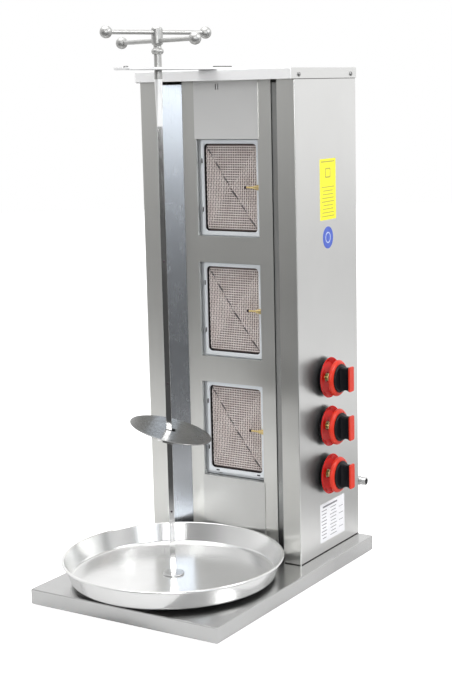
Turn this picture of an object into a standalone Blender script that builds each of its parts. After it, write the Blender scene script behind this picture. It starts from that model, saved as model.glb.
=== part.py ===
"""Vertical rotisserie broiler: three gas burners in a sheet-metal casing, a hand-turned spit in front.

Lengths are metres. The design frame has X to the right, Y from the front edge of the base to the
back and Z up from the floor. SHIFT_X and SHIFT_Y then move the whole object so that the world
origin is the middle of its footprint.
"""
import bmesh
import bpy
from math import cos, pi, radians, sin
from mathutils import Euler, Matrix, Vector

for old in list(bpy.data.objects):
    bpy.data.objects.remove(old, do_unlink=True)

# ---------------------------------------------------------------- driving dimensions
GAP = 0.0003                # clearance between pieces that touch
SHEET = 0.0012              # casing sheet

BASE_W = 0.4155
BASE_D = 0.5960
BASE_H = 0.0290
BASE_SHEET = 0.0015
FLOOR_GAP = 0.0030          # the feet hold the base's edge this far up
BASE_TOP = FLOOR_GAP + BASE_H
FOOT_INSET = 0.045

CASE_HALF_W = 0.1738
CASE_FRONT = 0.3556
CASE_BACK = 0.5988
CASE_H = 0.9300             # from the base plate to the cap's lower edge
COLUMN_FACE = 0.0382        # width of the casing's front faces

CAP_H = 0.0203
CAP_OVERHANG = 0.0140       # in front of the casing
CAP_BOTTOM = BASE_TOP + CASE_H
CAP_TOP = CAP_BOTTOM + CAP_H
CASE_TOP = CAP_TOP - SHEET - 0.002

PANEL_Y = 0.3936            # front of the burner panel
PANEL_HALF_W = 0.1005
WINDOW_HALF_W = 0.0704
WINDOW_HALF_H = 0.0945
WINDOW_RETURN = 0.0090
LOWEST_WINDOW_EXTRA = 0.0045
BLANK_HALF_W = 0.0727

BURNER_NAMES = ("lower", "middle", "upper")
BURNER_PITCH = 0.2405
LOWER_BURNER_Z = 0.2753
BURNER_FRONT = 0.4034       # front of the raised frame
BURNER_HALF_W = 0.0664
BURNER_HALF_H = 0.0930
MESH_HALF_W = 0.0602
MESH_HALF_H = 0.0852
JET_Y = 0.4622              # the mixing tubes' and the jets' axes
JET_DROP = 0.0500           # below the burner's middle

SPIT_X = -0.0060
SPIT_Y = 0.1802
SPIT_YAW = radians(35.0)    # the bar's flat faces
SPIT_HALF = 0.00525
SHAFT_R = 0.00725
TAPER_FOOT_Z = 0.8820
TAPER_HEAD_Z = 0.9638
SHAFT_TOP = 1.0187

TRAY_FLOOR_R = 0.1965
TRAY_RIM_R = 0.2112
TRAY_BOTTOM = 0.0387
TRAY_RIM_Z = 0.0787
TRAY_SHEET = 0.0015

ARM_HALF_W = 0.0200
ARM_THICK = 0.0046
ARM_TIP = 0.0700
ARM_END = 0.5600

DISC_R = 0.0780
DISC_Z = 0.3090             # middle of the disc's sleeve
DISC_TILT = (radians(3.4), radians(14.6))
SLEEVE_HALF = 0.0120        # half of the sleeve's length

HUB_BOTTOM = 1.0100
HUB_TOP = 1.0576
ROD_R = 0.0040
ROD_REACH = 0.1100          # from the spit's axis to a ball's middle
BALL_R = 0.0110
ROD_HEIGHTS = (1.0483, 1.0336)
ROD_YAWS = (radians(71.4), radians(-18.6))

KNOB_Y = 0.4640
KNOB_PITCH = 0.0970
LOWEST_KNOB_Z = 0.1920
KNOB_END = 0.0570           # from the side panel to the grip's end
SKIRT_R = 0.0355

VALVE_R = 0.0130
PIPE_X = 0.1400
MANIFOLD_R = 0.0090
INLET_Z = 0.1380
INLET_Y = 0.6180
INLET_TIP_X = 0.1820
INLET_R = 0.0083
INLET_COLLAR_R = 0.0100

SHIFT_X = -(CASE_HALF_W + KNOB_END + SPIT_X - TRAY_RIM_R) / 2
SHIFT_Y = -(INLET_Y + INLET_COLLAR_R + SPIT_Y - TRAY_RIM_R) / 2

BURNER_Z = {name: LOWER_BURNER_Z + i * BURNER_PITCH for i, name in enumerate(BURNER_NAMES)}
KNOB_Z = {name: LOWEST_KNOB_Z + i * KNOB_PITCH for i, name in enumerate(BURNER_NAMES)}


# ---------------------------------------------------------------- materials
def make_material(name, colour, metallic, roughness):
    mat = bpy.data.materials.new(name)
    mat.use_nodes = True
    shader = mat.node_tree.nodes["Principled BSDF"]
    shader.inputs["Base Color"].default_value = (*colour, 1.0)
    shader.inputs["Metallic"].default_value = metallic
    shader.inputs["Roughness"].default_value = roughness
    mat.diffuse_color = (*colour, 1.0)
    return mat


STEEL = make_material("brushed_stainless", (0.62, 0.61, 0.59), 1.0, 0.32)
POLISHED = make_material("polished_steel", (0.72, 0.72, 0.72), 1.0, 0.12)
ALUMINIUM = make_material("spun_aluminium", (0.86, 0.86, 0.87), 1.0, 0.22)
ZINC = make_material("zinc_sheet", (0.70, 0.73, 0.76), 1.0, 0.40)
MESH_WIRE = make_material("heat_stained_mesh", (0.52, 0.44, 0.41), 0.8, 0.55)
CERAMIC = make_material("burner_ceramic", (0.78, 0.70, 0.60), 0.0, 0.85)
BRASS = make_material("brass", (0.75, 0.58, 0.28), 1.0, 0.30)
RED = make_material("red_plastic", (0.80, 0.08, 0.04), 0.0, 0.25)
BLACK = make_material("black_plastic", (0.02, 0.02, 0.025), 0.0, 0.38)
RUBBER = make_material("black_rubber", (0.03, 0.03, 0.03), 0.0, 0.80)


# ---------------------------------------------------------------- placing objects
def add_empty(name, location, parent=None, rotation=(0.0, 0.0, 0.0)):
    empty = bpy.data.objects.new(name, None)
    bpy.context.scene.collection.objects.link(empty)
    empty.parent = parent
    empty.location = location
    empty.rotation_euler = rotation
    return empty


BROILER = add_empty("broiler_frame", (SHIFT_X, SHIFT_Y, 0.0))


def add_object(name, data, material, location=(0.0, 0.0, 0.0), rotation=(0.0, 0.0, 0.0), parent=BROILER):
    obj = bpy.data.objects.new(name, data)
    bpy.context.scene.collection.objects.link(obj)
    obj.parent = parent
    obj.location = location
    obj.rotation_euler = rotation
    if not data.materials:
        data.materials.append(material)
    return obj


def finish_mesh(bm, name, smooth=False):
    bmesh.ops.remove_doubles(bm, verts=bm.verts, dist=1e-6)
    bmesh.ops.recalc_face_normals(bm, faces=bm.faces)
    mesh = bpy.data.meshes.new(name)
    bm.to_mesh(mesh)
    bm.free()
    if smooth:
        mesh.shade_smooth()
        mesh.set_sharp_from_angle(angle=radians(35))
    return mesh


# ---------------------------------------------------------------- shapes
def box_mesh(name, low, high, bevel=0.0):
    """A box between two corners."""
    bm = bmesh.new()
    size = Vector(high) - Vector(low)
    middle = (Vector(high) + Vector(low)) / 2
    matrix = Matrix.Translation(middle) @ Matrix.Diagonal((*size, 1.0))
    bmesh.ops.create_cube(bm, size=1.0, matrix=matrix)
    if bevel:
        bmesh.ops.bevel(bm, geom=bm.edges[:], offset=bevel, segments=1, affect="EDGES")
    return finish_mesh(bm, name)


def turned_mesh(name, profile, steps=32, closed=False, smooth=True):
    """Spin (radius, height) points round Z. An open profile starts and ends on the axis."""
    bm = bmesh.new()
    verts = [bm.verts.new((r, 0.0, z)) for r, z in profile]
    edges = [bm.edges.new(pair) for pair in zip(verts, verts[1:])]
    if closed:
        edges.append(bm.edges.new((verts[-1], verts[0])))
    bmesh.ops.spin(bm, geom=verts + edges, cent=(0, 0, 0), axis=(0, 0, 1), angle=2 * pi, steps=steps,
                   use_merge=True)
    return finish_mesh(bm, name, smooth)


def rounded_loop(half_w, half_h, radius, corner_steps):
    """Points of a rectangle with round corners, anticlockwise."""
    radius = min(max(radius, 1e-4), half_w, half_h)
    points = []
    for quarter, (sx, sy) in enumerate(((1, 1), (-1, 1), (-1, -1), (1, -1))):
        for step in range(corner_steps + 1):
            angle = quarter * pi / 2 + step * pi / 2 / corner_steps
            x = sx * (half_w - radius) + radius * cos(angle)
            y = sy * (half_h - radius) + radius * sin(angle)
            points.append((x, y))
    return points


def lofted_mesh(name, sections, corner_steps=3, ring=False, smooth=False):
    """Join rounded rectangles (half_w, half_h, corner radius, height) in order, along Z.

    A ring joins the last section to the first, and anything else is capped at both ends.
    """
    bm = bmesh.new()
    loops = []
    for half_w, half_h, radius, height in sections:
        points = rounded_loop(half_w, half_h, radius, corner_steps)
        loops.append([bm.verts.new((x, y, height)) for x, y in points])
    pairs = list(zip(loops, loops[1:]))
    if ring:
        pairs.append((loops[-1], loops[0]))
    for lower, upper in pairs:
        count = len(lower)
        for i in range(count):
            j = (i + 1) % count
            bm.faces.new((lower[i], lower[j], upper[j], upper[i]))
    if not ring:
        bm.faces.new(list(reversed(loops[0])))
        bm.faces.new(loops[-1])
    return finish_mesh(bm, name, smooth)


def bent_sheet_mesh(name, line, thickness, bottom, top):
    """A vertical sheet bent along a line of (x, y) points; its thickness is on the line's left side."""
    points = [Vector(p) for p in line]
    inner = []
    for i, point in enumerate(points):
        before = (point - points[i - 1]).normalized() if i else None
        after = (points[i + 1] - point).normalized() if i < len(points) - 1 else None
        directions = [d for d in (before, after) if d is not None]
        normals = [Vector((-d.y, d.x)) for d in directions]
        mitre = sum(normals, Vector((0.0, 0.0))).normalized()
        inner.append(point + mitre * thickness / mitre.dot(normals[0]))
    bm = bmesh.new()
    rows = [[bm.verts.new((p.x, p.y, z)) for p in side] for z in (bottom, top) for side in (points, inner)]
    out_low, in_low, out_high, in_high = rows
    for i in range(len(points) - 1):
        bm.faces.new((out_low[i], out_low[i + 1], out_high[i + 1], out_high[i]))
        bm.faces.new((in_low[i + 1], in_low[i], in_high[i], in_high[i + 1]))
        bm.faces.new((out_low[i + 1], out_low[i], in_low[i], in_low[i + 1]))
        bm.faces.new((out_high[i], out_high[i + 1], in_high[i + 1], in_high[i]))
    for i in (0, -1):
        bm.faces.new((out_low[i], out_high[i], in_high[i], in_low[i]))
    return finish_mesh(bm, name)


def route_points(corners, bend_radius, steps=4):
    """A tube's route through its corners, with an arc of a given radius at each bend."""
    points = [Vector(corners[0])]
    for before, corner, after in zip(corners, corners[1:], corners[2:]):
        corner = Vector(corner)
        back = (Vector(before) - corner).normalized()
        ahead = (Vector(after) - corner).normalized()
        for step in range(steps + 1):
            angle = step * pi / 2 / steps
            points.append(corner + bend_radius * (back * (1 - sin(angle)) + ahead * (1 - cos(angle))))
    points.append(Vector(corners[-1]))
    return points


def swept_mesh(name, points, radius, plane_normal, sides=12):
    """A solid round bar along points that lie in one plane."""
    bm = bmesh.new()
    across = Vector(plane_normal)
    rings = []
    for i, point in enumerate(points):
        along = (points[min(i + 1, len(points) - 1)] - points[max(i - 1, 0)]).normalized()
        side = along.cross(across)
        angles = [2 * pi * k / sides for k in range(sides)]
        rings.append([bm.verts.new(point + radius * (across * cos(a) + side * sin(a))) for a in angles])
    for ring, following in zip(rings, rings[1:]):
        for k in range(sides):
            j = (k + 1) % sides
            bm.faces.new((ring[k], ring[j], following[j], following[k]))
    bm.faces.new(list(reversed(rings[0])))
    bm.faces.new(rings[-1])
    return finish_mesh(bm, name, smooth=True)


# ---------------------------------------------------------------- booleans
def hide_cutter(cutter):
    cutter.hide_render = True
    cutter.display_type = "WIRE"


def combine(obj, data, operation, location=(0.0, 0.0, 0.0), rotation=(0.0, 0.0, 0.0), parent=BROILER):
    """Add or cut a shape. The second shape is placed like any object and left out of the build."""
    cutter = add_object(f"{obj.name}_{operation.lower()}_{len(obj.modifiers)}", data, STEEL,
                        location, rotation, parent)
    hide_cutter(cutter)
    modifier = obj.modifiers.new(operation.title(), "BOOLEAN")
    modifier.operation = operation
    modifier.solver = "EXACT"
    modifier.object = cutter
    return cutter


def cut_box(obj, low, high):
    combine(obj, box_mesh("cut_box", low, high), "DIFFERENCE")


def cut_bore(obj, centre, radius, length, rotation=(0.0, 0.0, 0.0), steps=16, parent=BROILER):
    profile = ((0.0, -length / 2), (radius, -length / 2), (radius, length / 2), (0.0, length / 2))
    bore = turned_mesh("cut_bore", profile, steps, smooth=False)
    combine(obj, bore, "DIFFERENCE", centre, rotation, parent)


ALONG_X = (0.0, pi / 2, 0.0)        # turns a shape's +Z to +X
ALONG_Y_FRONT = (pi / 2, 0.0, 0.0)  # turns a shape's +Z to -Y


# ---------------------------------------------------------------- base, feet and drip tray
def build_base():
    bm = bmesh.new()
    matrix = Matrix.Translation((0.0, BASE_D / 2, FLOOR_GAP + BASE_H / 2))
    matrix = matrix @ Matrix.Diagonal((BASE_W, BASE_D, BASE_H, 1.0))
    bmesh.ops.create_cube(bm, size=1.0, matrix=matrix)
    underside = [face for face in bm.faces if face.normal.z < -0.9]
    bmesh.ops.delete(bm, geom=underside, context="FACES_ONLY")
    base = add_object("base_plate", finish_mesh(bm, "base_plate"), STEEL)
    sheet = base.modifiers.new("Sheet", "SOLIDIFY")
    sheet.thickness = BASE_SHEET
    sheet.offset = -1.0
    sheet.use_even_offset = True
    cut_bore(base, (SPIT_X, SPIT_Y, BASE_TOP), 0.0145, 0.02, steps=24)


def build_feet():
    height = BASE_TOP - BASE_SHEET - GAP
    profile = ((0.0, 0.0), (0.0150, 0.0), (0.0165, 0.0020), (0.0175, height), (0.0, height))
    shape = turned_mesh("foot", profile, 20)
    corners = {
        "foot_front_left": (-1, FOOT_INSET),
        "foot_front_right": (1, FOOT_INSET),
        "foot_back_left": (-1, BASE_D - FOOT_INSET),
        "foot_back_right": (1, BASE_D - FOOT_INSET),
    }
    for name, (side, y) in corners.items():
        add_object(name, shape, RUBBER, (side * (BASE_W / 2 - FOOT_INSET), y, 0.0))


def build_pivot_socket():
    """A flanged socket: the tray rests on its flange and the spit's pin stands in its bore."""
    flange_z = BASE_TOP + GAP
    tray_rest = TRAY_BOTTOM - GAP
    boss_top = TRAY_BOTTOM + TRAY_SHEET
    profile = (
        (0.0, 0.0140), (0.0120, 0.0140), (0.0138, 0.0155), (0.0138, flange_z), (0.0450, flange_z),
        (0.0450, tray_rest), (0.0125, tray_rest), (0.0125, boss_top), (0.0053, boss_top),
        (0.0053, 0.0200), (0.0, 0.0200),
    )
    add_object("pivot_socket", turned_mesh("pivot_socket", profile, 24), STEEL, (SPIT_X, SPIT_Y, 0.0))


def build_drip_tray():
    floor_top = TRAY_BOTTOM + TRAY_SHEET
    bend = 0.0060
    wall_top = TRAY_RIM_Z - 0.0050
    rim_middle = (TRAY_RIM_R - 0.0028, TRAY_RIM_Z - 0.0028)
    outer = [(0.0130, TRAY_BOTTOM), (TRAY_FLOOR_R - bend, TRAY_BOTTOM), (TRAY_FLOOR_R, TRAY_BOTTOM + 0.004)]
    outer.append((TRAY_RIM_R - 0.0052, wall_top - 0.001))
    rim = []
    for degrees in (235, 300, 0, 60, 110, 155):
        angle = radians(degrees)
        rim.append((rim_middle[0] + 0.0028 * cos(angle), rim_middle[1] + 0.0028 * sin(angle)))
    inner = [(TRAY_FLOOR_R - 0.0012, TRAY_BOTTOM + 0.0058), (TRAY_FLOOR_R - bend - 0.001, floor_top)]
    profile = outer + rim + inner + [(0.0130, floor_top)]
    tray = turned_mesh("drip_tray", profile, 48, closed=True)
    add_object("drip_tray", tray, ALUMINIUM, (SPIT_X, SPIT_Y, 0.0))


# ---------------------------------------------------------------- casing
def build_casing_half(name, side):
    """One folded half: front face, side panel and a return at the back."""
    line = [(CASE_HALF_W - COLUMN_FACE, CASE_FRONT), (CASE_HALF_W, CASE_FRONT),
            (CASE_HALF_W, CASE_BACK), (0.150, CASE_BACK)]
    if side < 0:
        line = [(-x, y) for x, y in reversed(line)]
    mesh = bent_sheet_mesh(name, line, SHEET, BASE_TOP + GAP, CASE_TOP)
    casing = add_object(name, mesh, STEEL)
    if side > 0:
        for z in KNOB_Z.values():
            cut_bore(casing, (CASE_HALF_W, KNOB_Y, z), 0.0080, 0.01, ALONG_X)


def build_reflector(name, side):
    """A splayed wall, with a flange behind the casing's front face and one behind the burner panel."""
    front = CASE_FRONT + SHEET + GAP
    back = PANEL_Y + SHEET + GAP
    line = [(0.160, front), (CASE_HALF_W - COLUMN_FACE - GAP, front), (PANEL_HALF_W + 0.0005, back),
            (0.080, back)]
    if side > 0:
        line.reverse()
    else:
        line = [(-x, y) for x, y in line]
    mesh = bent_sheet_mesh(name, line, SHEET, BASE_TOP + GAP, CAP_BOTTOM - 0.006)
    add_object(name, mesh, STEEL)


def window_limits(name):
    z = BURNER_Z[name]
    low = z - WINDOW_HALF_H - (LOWEST_WINDOW_EXTRA if name == "lower" else 0.0)
    return low, z + WINDOW_HALF_H


def build_burner_panel():
    """The flat sheet that frames the burners. Each window has a short return bent backwards."""
    low = (-PANEL_HALF_W, PANEL_Y, BASE_TOP + GAP)
    high = (PANEL_HALF_W, PANEL_Y + SHEET, CAP_TOP - SHEET - 0.004)
    panel = add_object("burner_panel", box_mesh("burner_panel", low, high), STEEL)
    for name in BURNER_NAMES:
        bottom, top = window_limits(name)
        reach = PANEL_Y + WINDOW_RETURN
        outer_low = (-WINDOW_HALF_W - SHEET, PANEL_Y + SHEET / 2, bottom - SHEET)
        outer_high = (WINDOW_HALF_W + SHEET, reach, top + SHEET)
        combine(panel, box_mesh("window_return", outer_low, outer_high), "UNION")
        cut_box(panel, (-WINDOW_HALF_W, PANEL_Y - 0.01, bottom), (WINDOW_HALF_W, reach + 0.01, top))


def build_blanks():
    """Plates over the panel above the upper burner and below the lower one."""
    y = PANEL_Y - SHEET - GAP
    top_low = window_limits("upper")[1]
    bottom_high = window_limits("lower")[0]
    high = (BLANK_HALF_W, y + SHEET, CAP_TOP - SHEET - 0.004)
    top_blank = add_object("top_blank", box_mesh("top_blank", (-BLANK_HALF_W, y, top_low), high), STEEL)
    for x in (-0.021, -0.017):
        cut_box(top_blank, (x, y - 0.01, 0.947), (x + 0.0013, y + 0.01, 0.955))
    high = (BLANK_HALF_W, y + SHEET, bottom_high)
    low = (-BLANK_HALF_W, y, BASE_TOP + GAP)
    add_object("bottom_blank", box_mesh("bottom_blank", low, high), STEEL)


def build_back_panel():
    y = CASE_BACK - 2 * SHEET - GAP
    low = (-CASE_HALF_W + SHEET + GAP, y, BASE_TOP + GAP)
    high = (CASE_HALF_W - SHEET - GAP, y + SHEET, CASE_TOP)
    panel = add_object("back_panel", box_mesh("back_panel", low, high), STEEL)
    slot_half_w = 0.030
    for x in (-0.060, 0.060):
        for row in range(6):
            z = 0.640 + row * 0.045
            cut_box(panel, (x - slot_half_w, y - 0.01, z), (x + slot_half_w, y + 0.01, z + 0.006))
    cut_bore(panel, (PIPE_X, y, INLET_Z), 0.0080, 0.02, ALONG_Y_FRONT)


def build_cap():
    """A shallow lid, open underneath, that reaches a little further forward than the casing."""
    half_w = CASE_HALF_W + GAP + SHEET
    front = CASE_FRONT - CAP_OVERHANG
    back = CASE_BACK + GAP + SHEET
    half_d = (back - front) / 2
    sections = [
        (half_w - SHEET, half_d - SHEET, 0.0005, CAP_TOP - SHEET),
        (half_w - SHEET, half_d - SHEET, 0.0005, CAP_BOTTOM),
        (half_w, half_d, 0.0015, CAP_BOTTOM),
        (half_w, half_d, 0.0015, CAP_TOP - 0.0008),
        (half_w - 0.0008, half_d - 0.0008, 0.0010, CAP_TOP),
    ]
    add_object("cap", lofted_mesh("cap", sections, 2), STEEL, (0.0, (front + back) / 2, 0.0))


def build_top_arm():
    """A flat bar on the cap. A notch from its left edge lets the spit's shaft in and out."""
    length = ARM_END - ARM_TIP
    bottom = CAP_TOP + GAP
    sections = [(ARM_HALF_W, length / 2, 0.006, bottom), (ARM_HALF_W, length / 2, 0.006, bottom + ARM_THICK)]
    arm = add_object("top_arm", lofted_mesh("top_arm", sections, 3), POLISHED,
                     (SPIT_X, (ARM_TIP + ARM_END) / 2, 0.0))
    notch = SHAFT_R + 0.0004
    cut_bore(arm, (SPIT_X, SPIT_Y, bottom), notch, 0.03, steps=24)
    cut_box(arm, (SPIT_X - 0.03, SPIT_Y - notch, bottom - 0.01), (SPIT_X, SPIT_Y + notch, bottom + 0.02))


# ---------------------------------------------------------------- burners
def build_burner(name):
    """Sheet body with a slotted flange, a raised frame, a gas chamber behind and its mixing tube."""
    z = BURNER_Z[name]
    flange = BURNER_FRONT + 0.0046
    lip = 0.0012
    rim = BURNER_FRONT
    sections = [
        (0.0540, 0.0800, 0.004, 0.4505), (0.0540, 0.0800, 0.004, 0.4280), (0.0652, 0.0917, 0.002, 0.4280),
        (0.0652, 0.0917, 0.002, rim + lip), (MESH_HALF_W, MESH_HALF_H, 0.009, rim + lip),
        (MESH_HALF_W, MESH_HALF_H, 0.009, rim), (BURNER_HALF_W, BURNER_HALF_H, 0.003, rim),
        (BURNER_HALF_W, BURNER_HALF_H, 0.003, flange), (0.0780, 0.0990, 0.003, flange),
        (0.0780, 0.0990, 0.003, flange + lip), (BURNER_HALF_W, BURNER_HALF_H, 0.003, flange + lip),
        (BURNER_HALF_W, BURNER_HALF_H, 0.003, 0.4300), (0.0560, 0.0820, 0.004, 0.4300),
        (0.0560, 0.0820, 0.004, 0.4520),
    ]
    placed = [(half_w, half_h, radius, -y) for half_w, half_h, radius, y in sections]
    body = add_object(f"burner_body_{name}", lofted_mesh(f"burner_body_{name}", placed, 2), ZINC,
                      (0.0, 0.0, z), ALONG_Y_FRONT)
    tube_z = z - JET_DROP
    tube = ((0.0, -0.050), (0.011, -0.050), (0.011, 0.084), (0.0092, 0.084), (0.0092, -0.047), (0.0, -0.047))
    combine(body, turned_mesh("mixing_tube", tube, 12), "UNION", (0.0, JET_Y, tube_z), ALONG_X)
    cut_bore(body, (-0.020, 0.4525, tube_z), 0.0060, 0.012, ALONG_Y_FRONT, 10)
    for dz in (-0.048, 0.048):
        for side in (-1, 1):
            x = side * 0.0684
            low, high = z + dz - 0.004, z + dz + 0.004
            cut_box(body, (x - 0.0010, flange - 0.002, low), (x + 0.0010, flange + 0.004, high))
    for x in (-0.046, 0.048):
        low, high = z - 0.0969, z - 0.0951
        cut_box(body, (x - 0.004, flange - 0.002, low), (x + 0.004, flange + 0.004, high))


def build_ceramic_pack(name):
    """Two perforated plates set in one frame, joined by a cement line."""
    front, back, groove = 0.4140, 0.4270, 0.0012
    mesh = box_mesh(f"ceramic_plates_{name}", (-0.0645, front, -0.0910), (0.0645, back, 0.0910), 0.0006)
    pack = add_object(f"ceramic_plates_{name}", mesh, CERAMIC, (0.0, 0.0, BURNER_Z[name]))
    joint = box_mesh("joint_line", (-0.07, front - 0.002, -0.0008), (0.07, front + groove, 0.0008))
    combine(pack, joint, "DIFFERENCE", (0.0, 0.0, BURNER_Z[name]))


def build_burner_mesh(name):
    """A woven sheet pressed into a flat pyramid, 1 mm thick."""
    half_w, half_h = 0.0640, 0.0900
    rim, peak, thickness = 0.4095, 0.4058, 0.0010
    bm = bmesh.new()
    corners = ((-half_w, -half_h), (half_w, -half_h), (half_w, half_h), (-half_w, half_h))
    front = [bm.verts.new((x, rim, z)) for x, z in corners]
    back = [bm.verts.new((x, rim + thickness, z)) for x, z in corners]
    front_peak = bm.verts.new((0.0, peak, 0.0))
    back_peak = bm.verts.new((0.0, peak + thickness, 0.0))
    for i in range(4):
        j = (i + 1) % 4
        bm.faces.new((front[i], front[j], front_peak))
        bm.faces.new((back[j], back[i], back_peak))
        bm.faces.new((front[j], front[i], back[i], back[j]))
    add_object(f"burner_mesh_{name}", finish_mesh(bm, f"burner_mesh_{name}"), MESH_WIRE,
               (0.0, 0.0, BURNER_Z[name]))


def build_thermocouple(name, shape):
    add_object(f"thermocouple_{name}", shape, BRASS,
               (WINDOW_HALF_W - GAP, PANEL_Y + 0.0048, BURNER_Z[name] + 0.0020), (0.0, -pi / 2, 0.0))


def thermocouple_shape():
    """Nut, probe and tip, from the window's edge inwards."""
    profile = ((0.0, 0.0), (0.0040, 0.0), (0.0040, 0.0080), (0.0030, 0.0088), (0.0030, 0.0125),
               (0.0017, 0.0130), (0.0017, 0.0300), (0.0023, 0.0306), (0.0023, 0.0335), (0.0012, 0.0345),
               (0.0, 0.0345))
    return turned_mesh("thermocouple", profile, 10)


# ---------------------------------------------------------------- gas train
def build_valve(name, body_shape, plug_shape):
    place = (0.0, KNOB_Y, KNOB_Z[name])
    add_object(f"gas_valve_{name}", body_shape, BRASS, place, ALONG_X)
    add_object(f"valve_plug_{name}", plug_shape, POLISHED, place, ALONG_X)


def valve_shapes():
    panel = CASE_HALF_W - SHEET - GAP
    bush_end = CASE_HALF_W + 0.0080
    body = ((0.0, 0.1280), (VALVE_R, 0.1280), (VALVE_R, panel - 0.002), (0.0115, panel), (0.0072, panel),
            (0.0072, bush_end), (0.0052, bush_end), (0.0052, 0.1400), (0.0, 0.1400))
    plug_end = CASE_HALF_W + 0.0145
    plug = ((0.0, 0.1405), (0.0048, 0.1405), (0.0048, plug_end), (0.0032, plug_end), (0.0032, 0.1600),
            (0.0, 0.1600))
    return turned_mesh("gas_valve", body, 16), turned_mesh("valve_plug", plug, 12)


def build_manifold():
    y = KNOB_Y + VALVE_R + MANIFOLD_R + GAP
    low, high = 0.120, KNOB_Z["upper"] + 0.022
    profile = ((0.0, low), (MANIFOLD_R - 0.001, low), (MANIFOLD_R, low + 0.001), (MANIFOLD_R, high - 0.001),
               (MANIFOLD_R - 0.001, high), (0.0, high))
    add_object("gas_manifold", turned_mesh("gas_manifold", profile, 16), STEEL, (PIPE_X, y, 0.0))


def build_gas_inlet():
    """Pipe from the manifold out through the back panel, then an elbow with a threaded end to the right."""
    start = KNOB_Y + VALVE_R + 2 * MANIFOLD_R + 2 * GAP
    corners = ((PIPE_X, start, INLET_Z), (PIPE_X, INLET_Y, INLET_Z), (0.1650, INLET_Y, INLET_Z))
    pipe = swept_mesh("gas_inlet", route_points(corners, 0.012), 0.0060, (0.0, 0.0, 1.0), 12)
    inlet = add_object("gas_inlet", pipe, STEEL)
    nipple = ((0.0, 0.1600), (INLET_COLLAR_R, 0.1600), (INLET_COLLAR_R, 0.1680), (0.0078, 0.1680),
              (INLET_R, 0.1695), (INLET_R, INLET_TIP_X - 0.001), (0.0074, INLET_TIP_X),
              (0.0055, INLET_TIP_X), (0.0055, 0.1700), (0.0, 0.1700))
    combine(inlet, turned_mesh("nipple", nipple, 16), "UNION", (0.0, INLET_Y, INLET_Z), ALONG_X)


def build_supply_tube(name, column_x):
    """From the valve's inner end up to the jet in the burner's mixing tube."""
    valve_z = KNOB_Z[name]
    jet_z = BURNER_Z[name] - JET_DROP
    y = JET_Y
    corners = ((0.1277, y, valve_z), (column_x, y, valve_z), (column_x, y, jet_z), (0.0780, y, jet_z))
    tube = swept_mesh(f"supply_tube_{name}", route_points(corners, 0.009, 3), 0.0035, (0.0, 1.0, 0.0), 8)
    add_object(f"supply_tube_{name}", tube, BRASS)


# ---------------------------------------------------------------- knobs
def bezel_shape():
    """A dished ring that stands on the side panel, from its hole out to its lip."""
    profile = ((0.0090, 0.0003), (0.0310, 0.0003), (0.0392, 0.0078), (0.0400, 0.0092), (0.0392, 0.0102),
               (0.0378, 0.0098), (0.0300, 0.0026), (0.0090, 0.0026))
    return turned_mesh("knob_bezel", profile, 28, closed=True)


def skirt_shape():
    profile = ((0.0125, 0.0240), (SKIRT_R, 0.0240), (SKIRT_R, 0.0272), (0.0340, 0.0300),
               (0.0290, 0.0316), (0.0125, 0.0316))
    return turned_mesh("knob_skirt", profile, 28, closed=True)


def grip_shape():
    """Stem, hub and round foot of the grip; the finger bar is joined on."""
    profile = ((0.0, -0.0088), (0.0029, -0.0088), (0.0029, 0.0225), (0.0118, 0.0225), (0.0118, 0.0319),
               (0.0280, 0.0319), (0.0262, 0.0362), (0.0, 0.0362))
    return turned_mesh("knob_grip", profile, 24)


def build_knob(name, bezel, skirt, grip):
    place = (CASE_HALF_W, KNOB_Y, KNOB_Z[name])
    add_object(f"knob_bezel_{name}", bezel, RED, place, ALONG_X)
    add_object(f"knob_skirt_{name}", skirt, RED, place, ALONG_X)
    knob = add_object(f"knob_grip_{name}", grip, BLACK, place, ALONG_X)
    bar = [(0.0262, 0.0085, 0.004, 0.0350), (0.0246, 0.0080, 0.004, 0.0420), (0.0240, 0.0078, 0.004, 0.0490),
           (0.0246, 0.0082, 0.004, KNOB_END - 0.0015), (0.0236, 0.0072, 0.003, KNOB_END)]
    combine(knob, lofted_mesh("finger_bar", bar, 2), "UNION", place, ALONG_X)


# ---------------------------------------------------------------- spit, disc and handle
def build_spit():
    """A bar with square section below and round above; its pin stands in the socket."""
    half, corner = SPIT_HALF, 0.0008
    sections = [
        (0.0050, 0.0050, 0.0050, 0.0240), (0.0050, 0.0050, 0.0050, 0.0441),
        (half, half, corner, 0.0441), (half, half, corner, TAPER_FOOT_Z - 0.0024),
        (half - 0.0007, half - 0.0007, corner, TAPER_FOOT_Z - 0.0016),
        (half - 0.0007, half - 0.0007, corner, TAPER_FOOT_Z), (half, half, 0.0012, TAPER_FOOT_Z + 0.0008),
        (SHAFT_R, SHAFT_R, SHAFT_R, TAPER_HEAD_Z),
        (SHAFT_R, SHAFT_R, SHAFT_R, 0.9800), (0.0068, 0.0068, 0.0068, 0.9806),
        (0.0068, 0.0068, 0.0068, SHAFT_TOP),
    ]
    spit = add_object("spit", lofted_mesh("spit", sections, 4), POLISHED,
                      (SPIT_X, SPIT_Y, 0.0), (0.0, 0.0, SPIT_YAW))
    for z in (0.164, 0.410, 0.638):
        cut_bore(spit, (SPIT_X, SPIT_Y, z), 0.0020, 0.03, (pi / 2, 0.0, SPIT_YAW), 12)


def build_spit_foot():
    """The round flange at the spit's lower end, loose round its pin."""
    profile = ((0.0053, 0.0405), (0.0205, 0.0405), (0.0205, 0.0427), (0.0190, 0.0438), (0.0053, 0.0438))
    foot = turned_mesh("spit_foot", profile, 24, closed=True)
    add_object("spit_foot", foot, POLISHED, (SPIT_X, SPIT_Y, 0.0))


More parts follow.
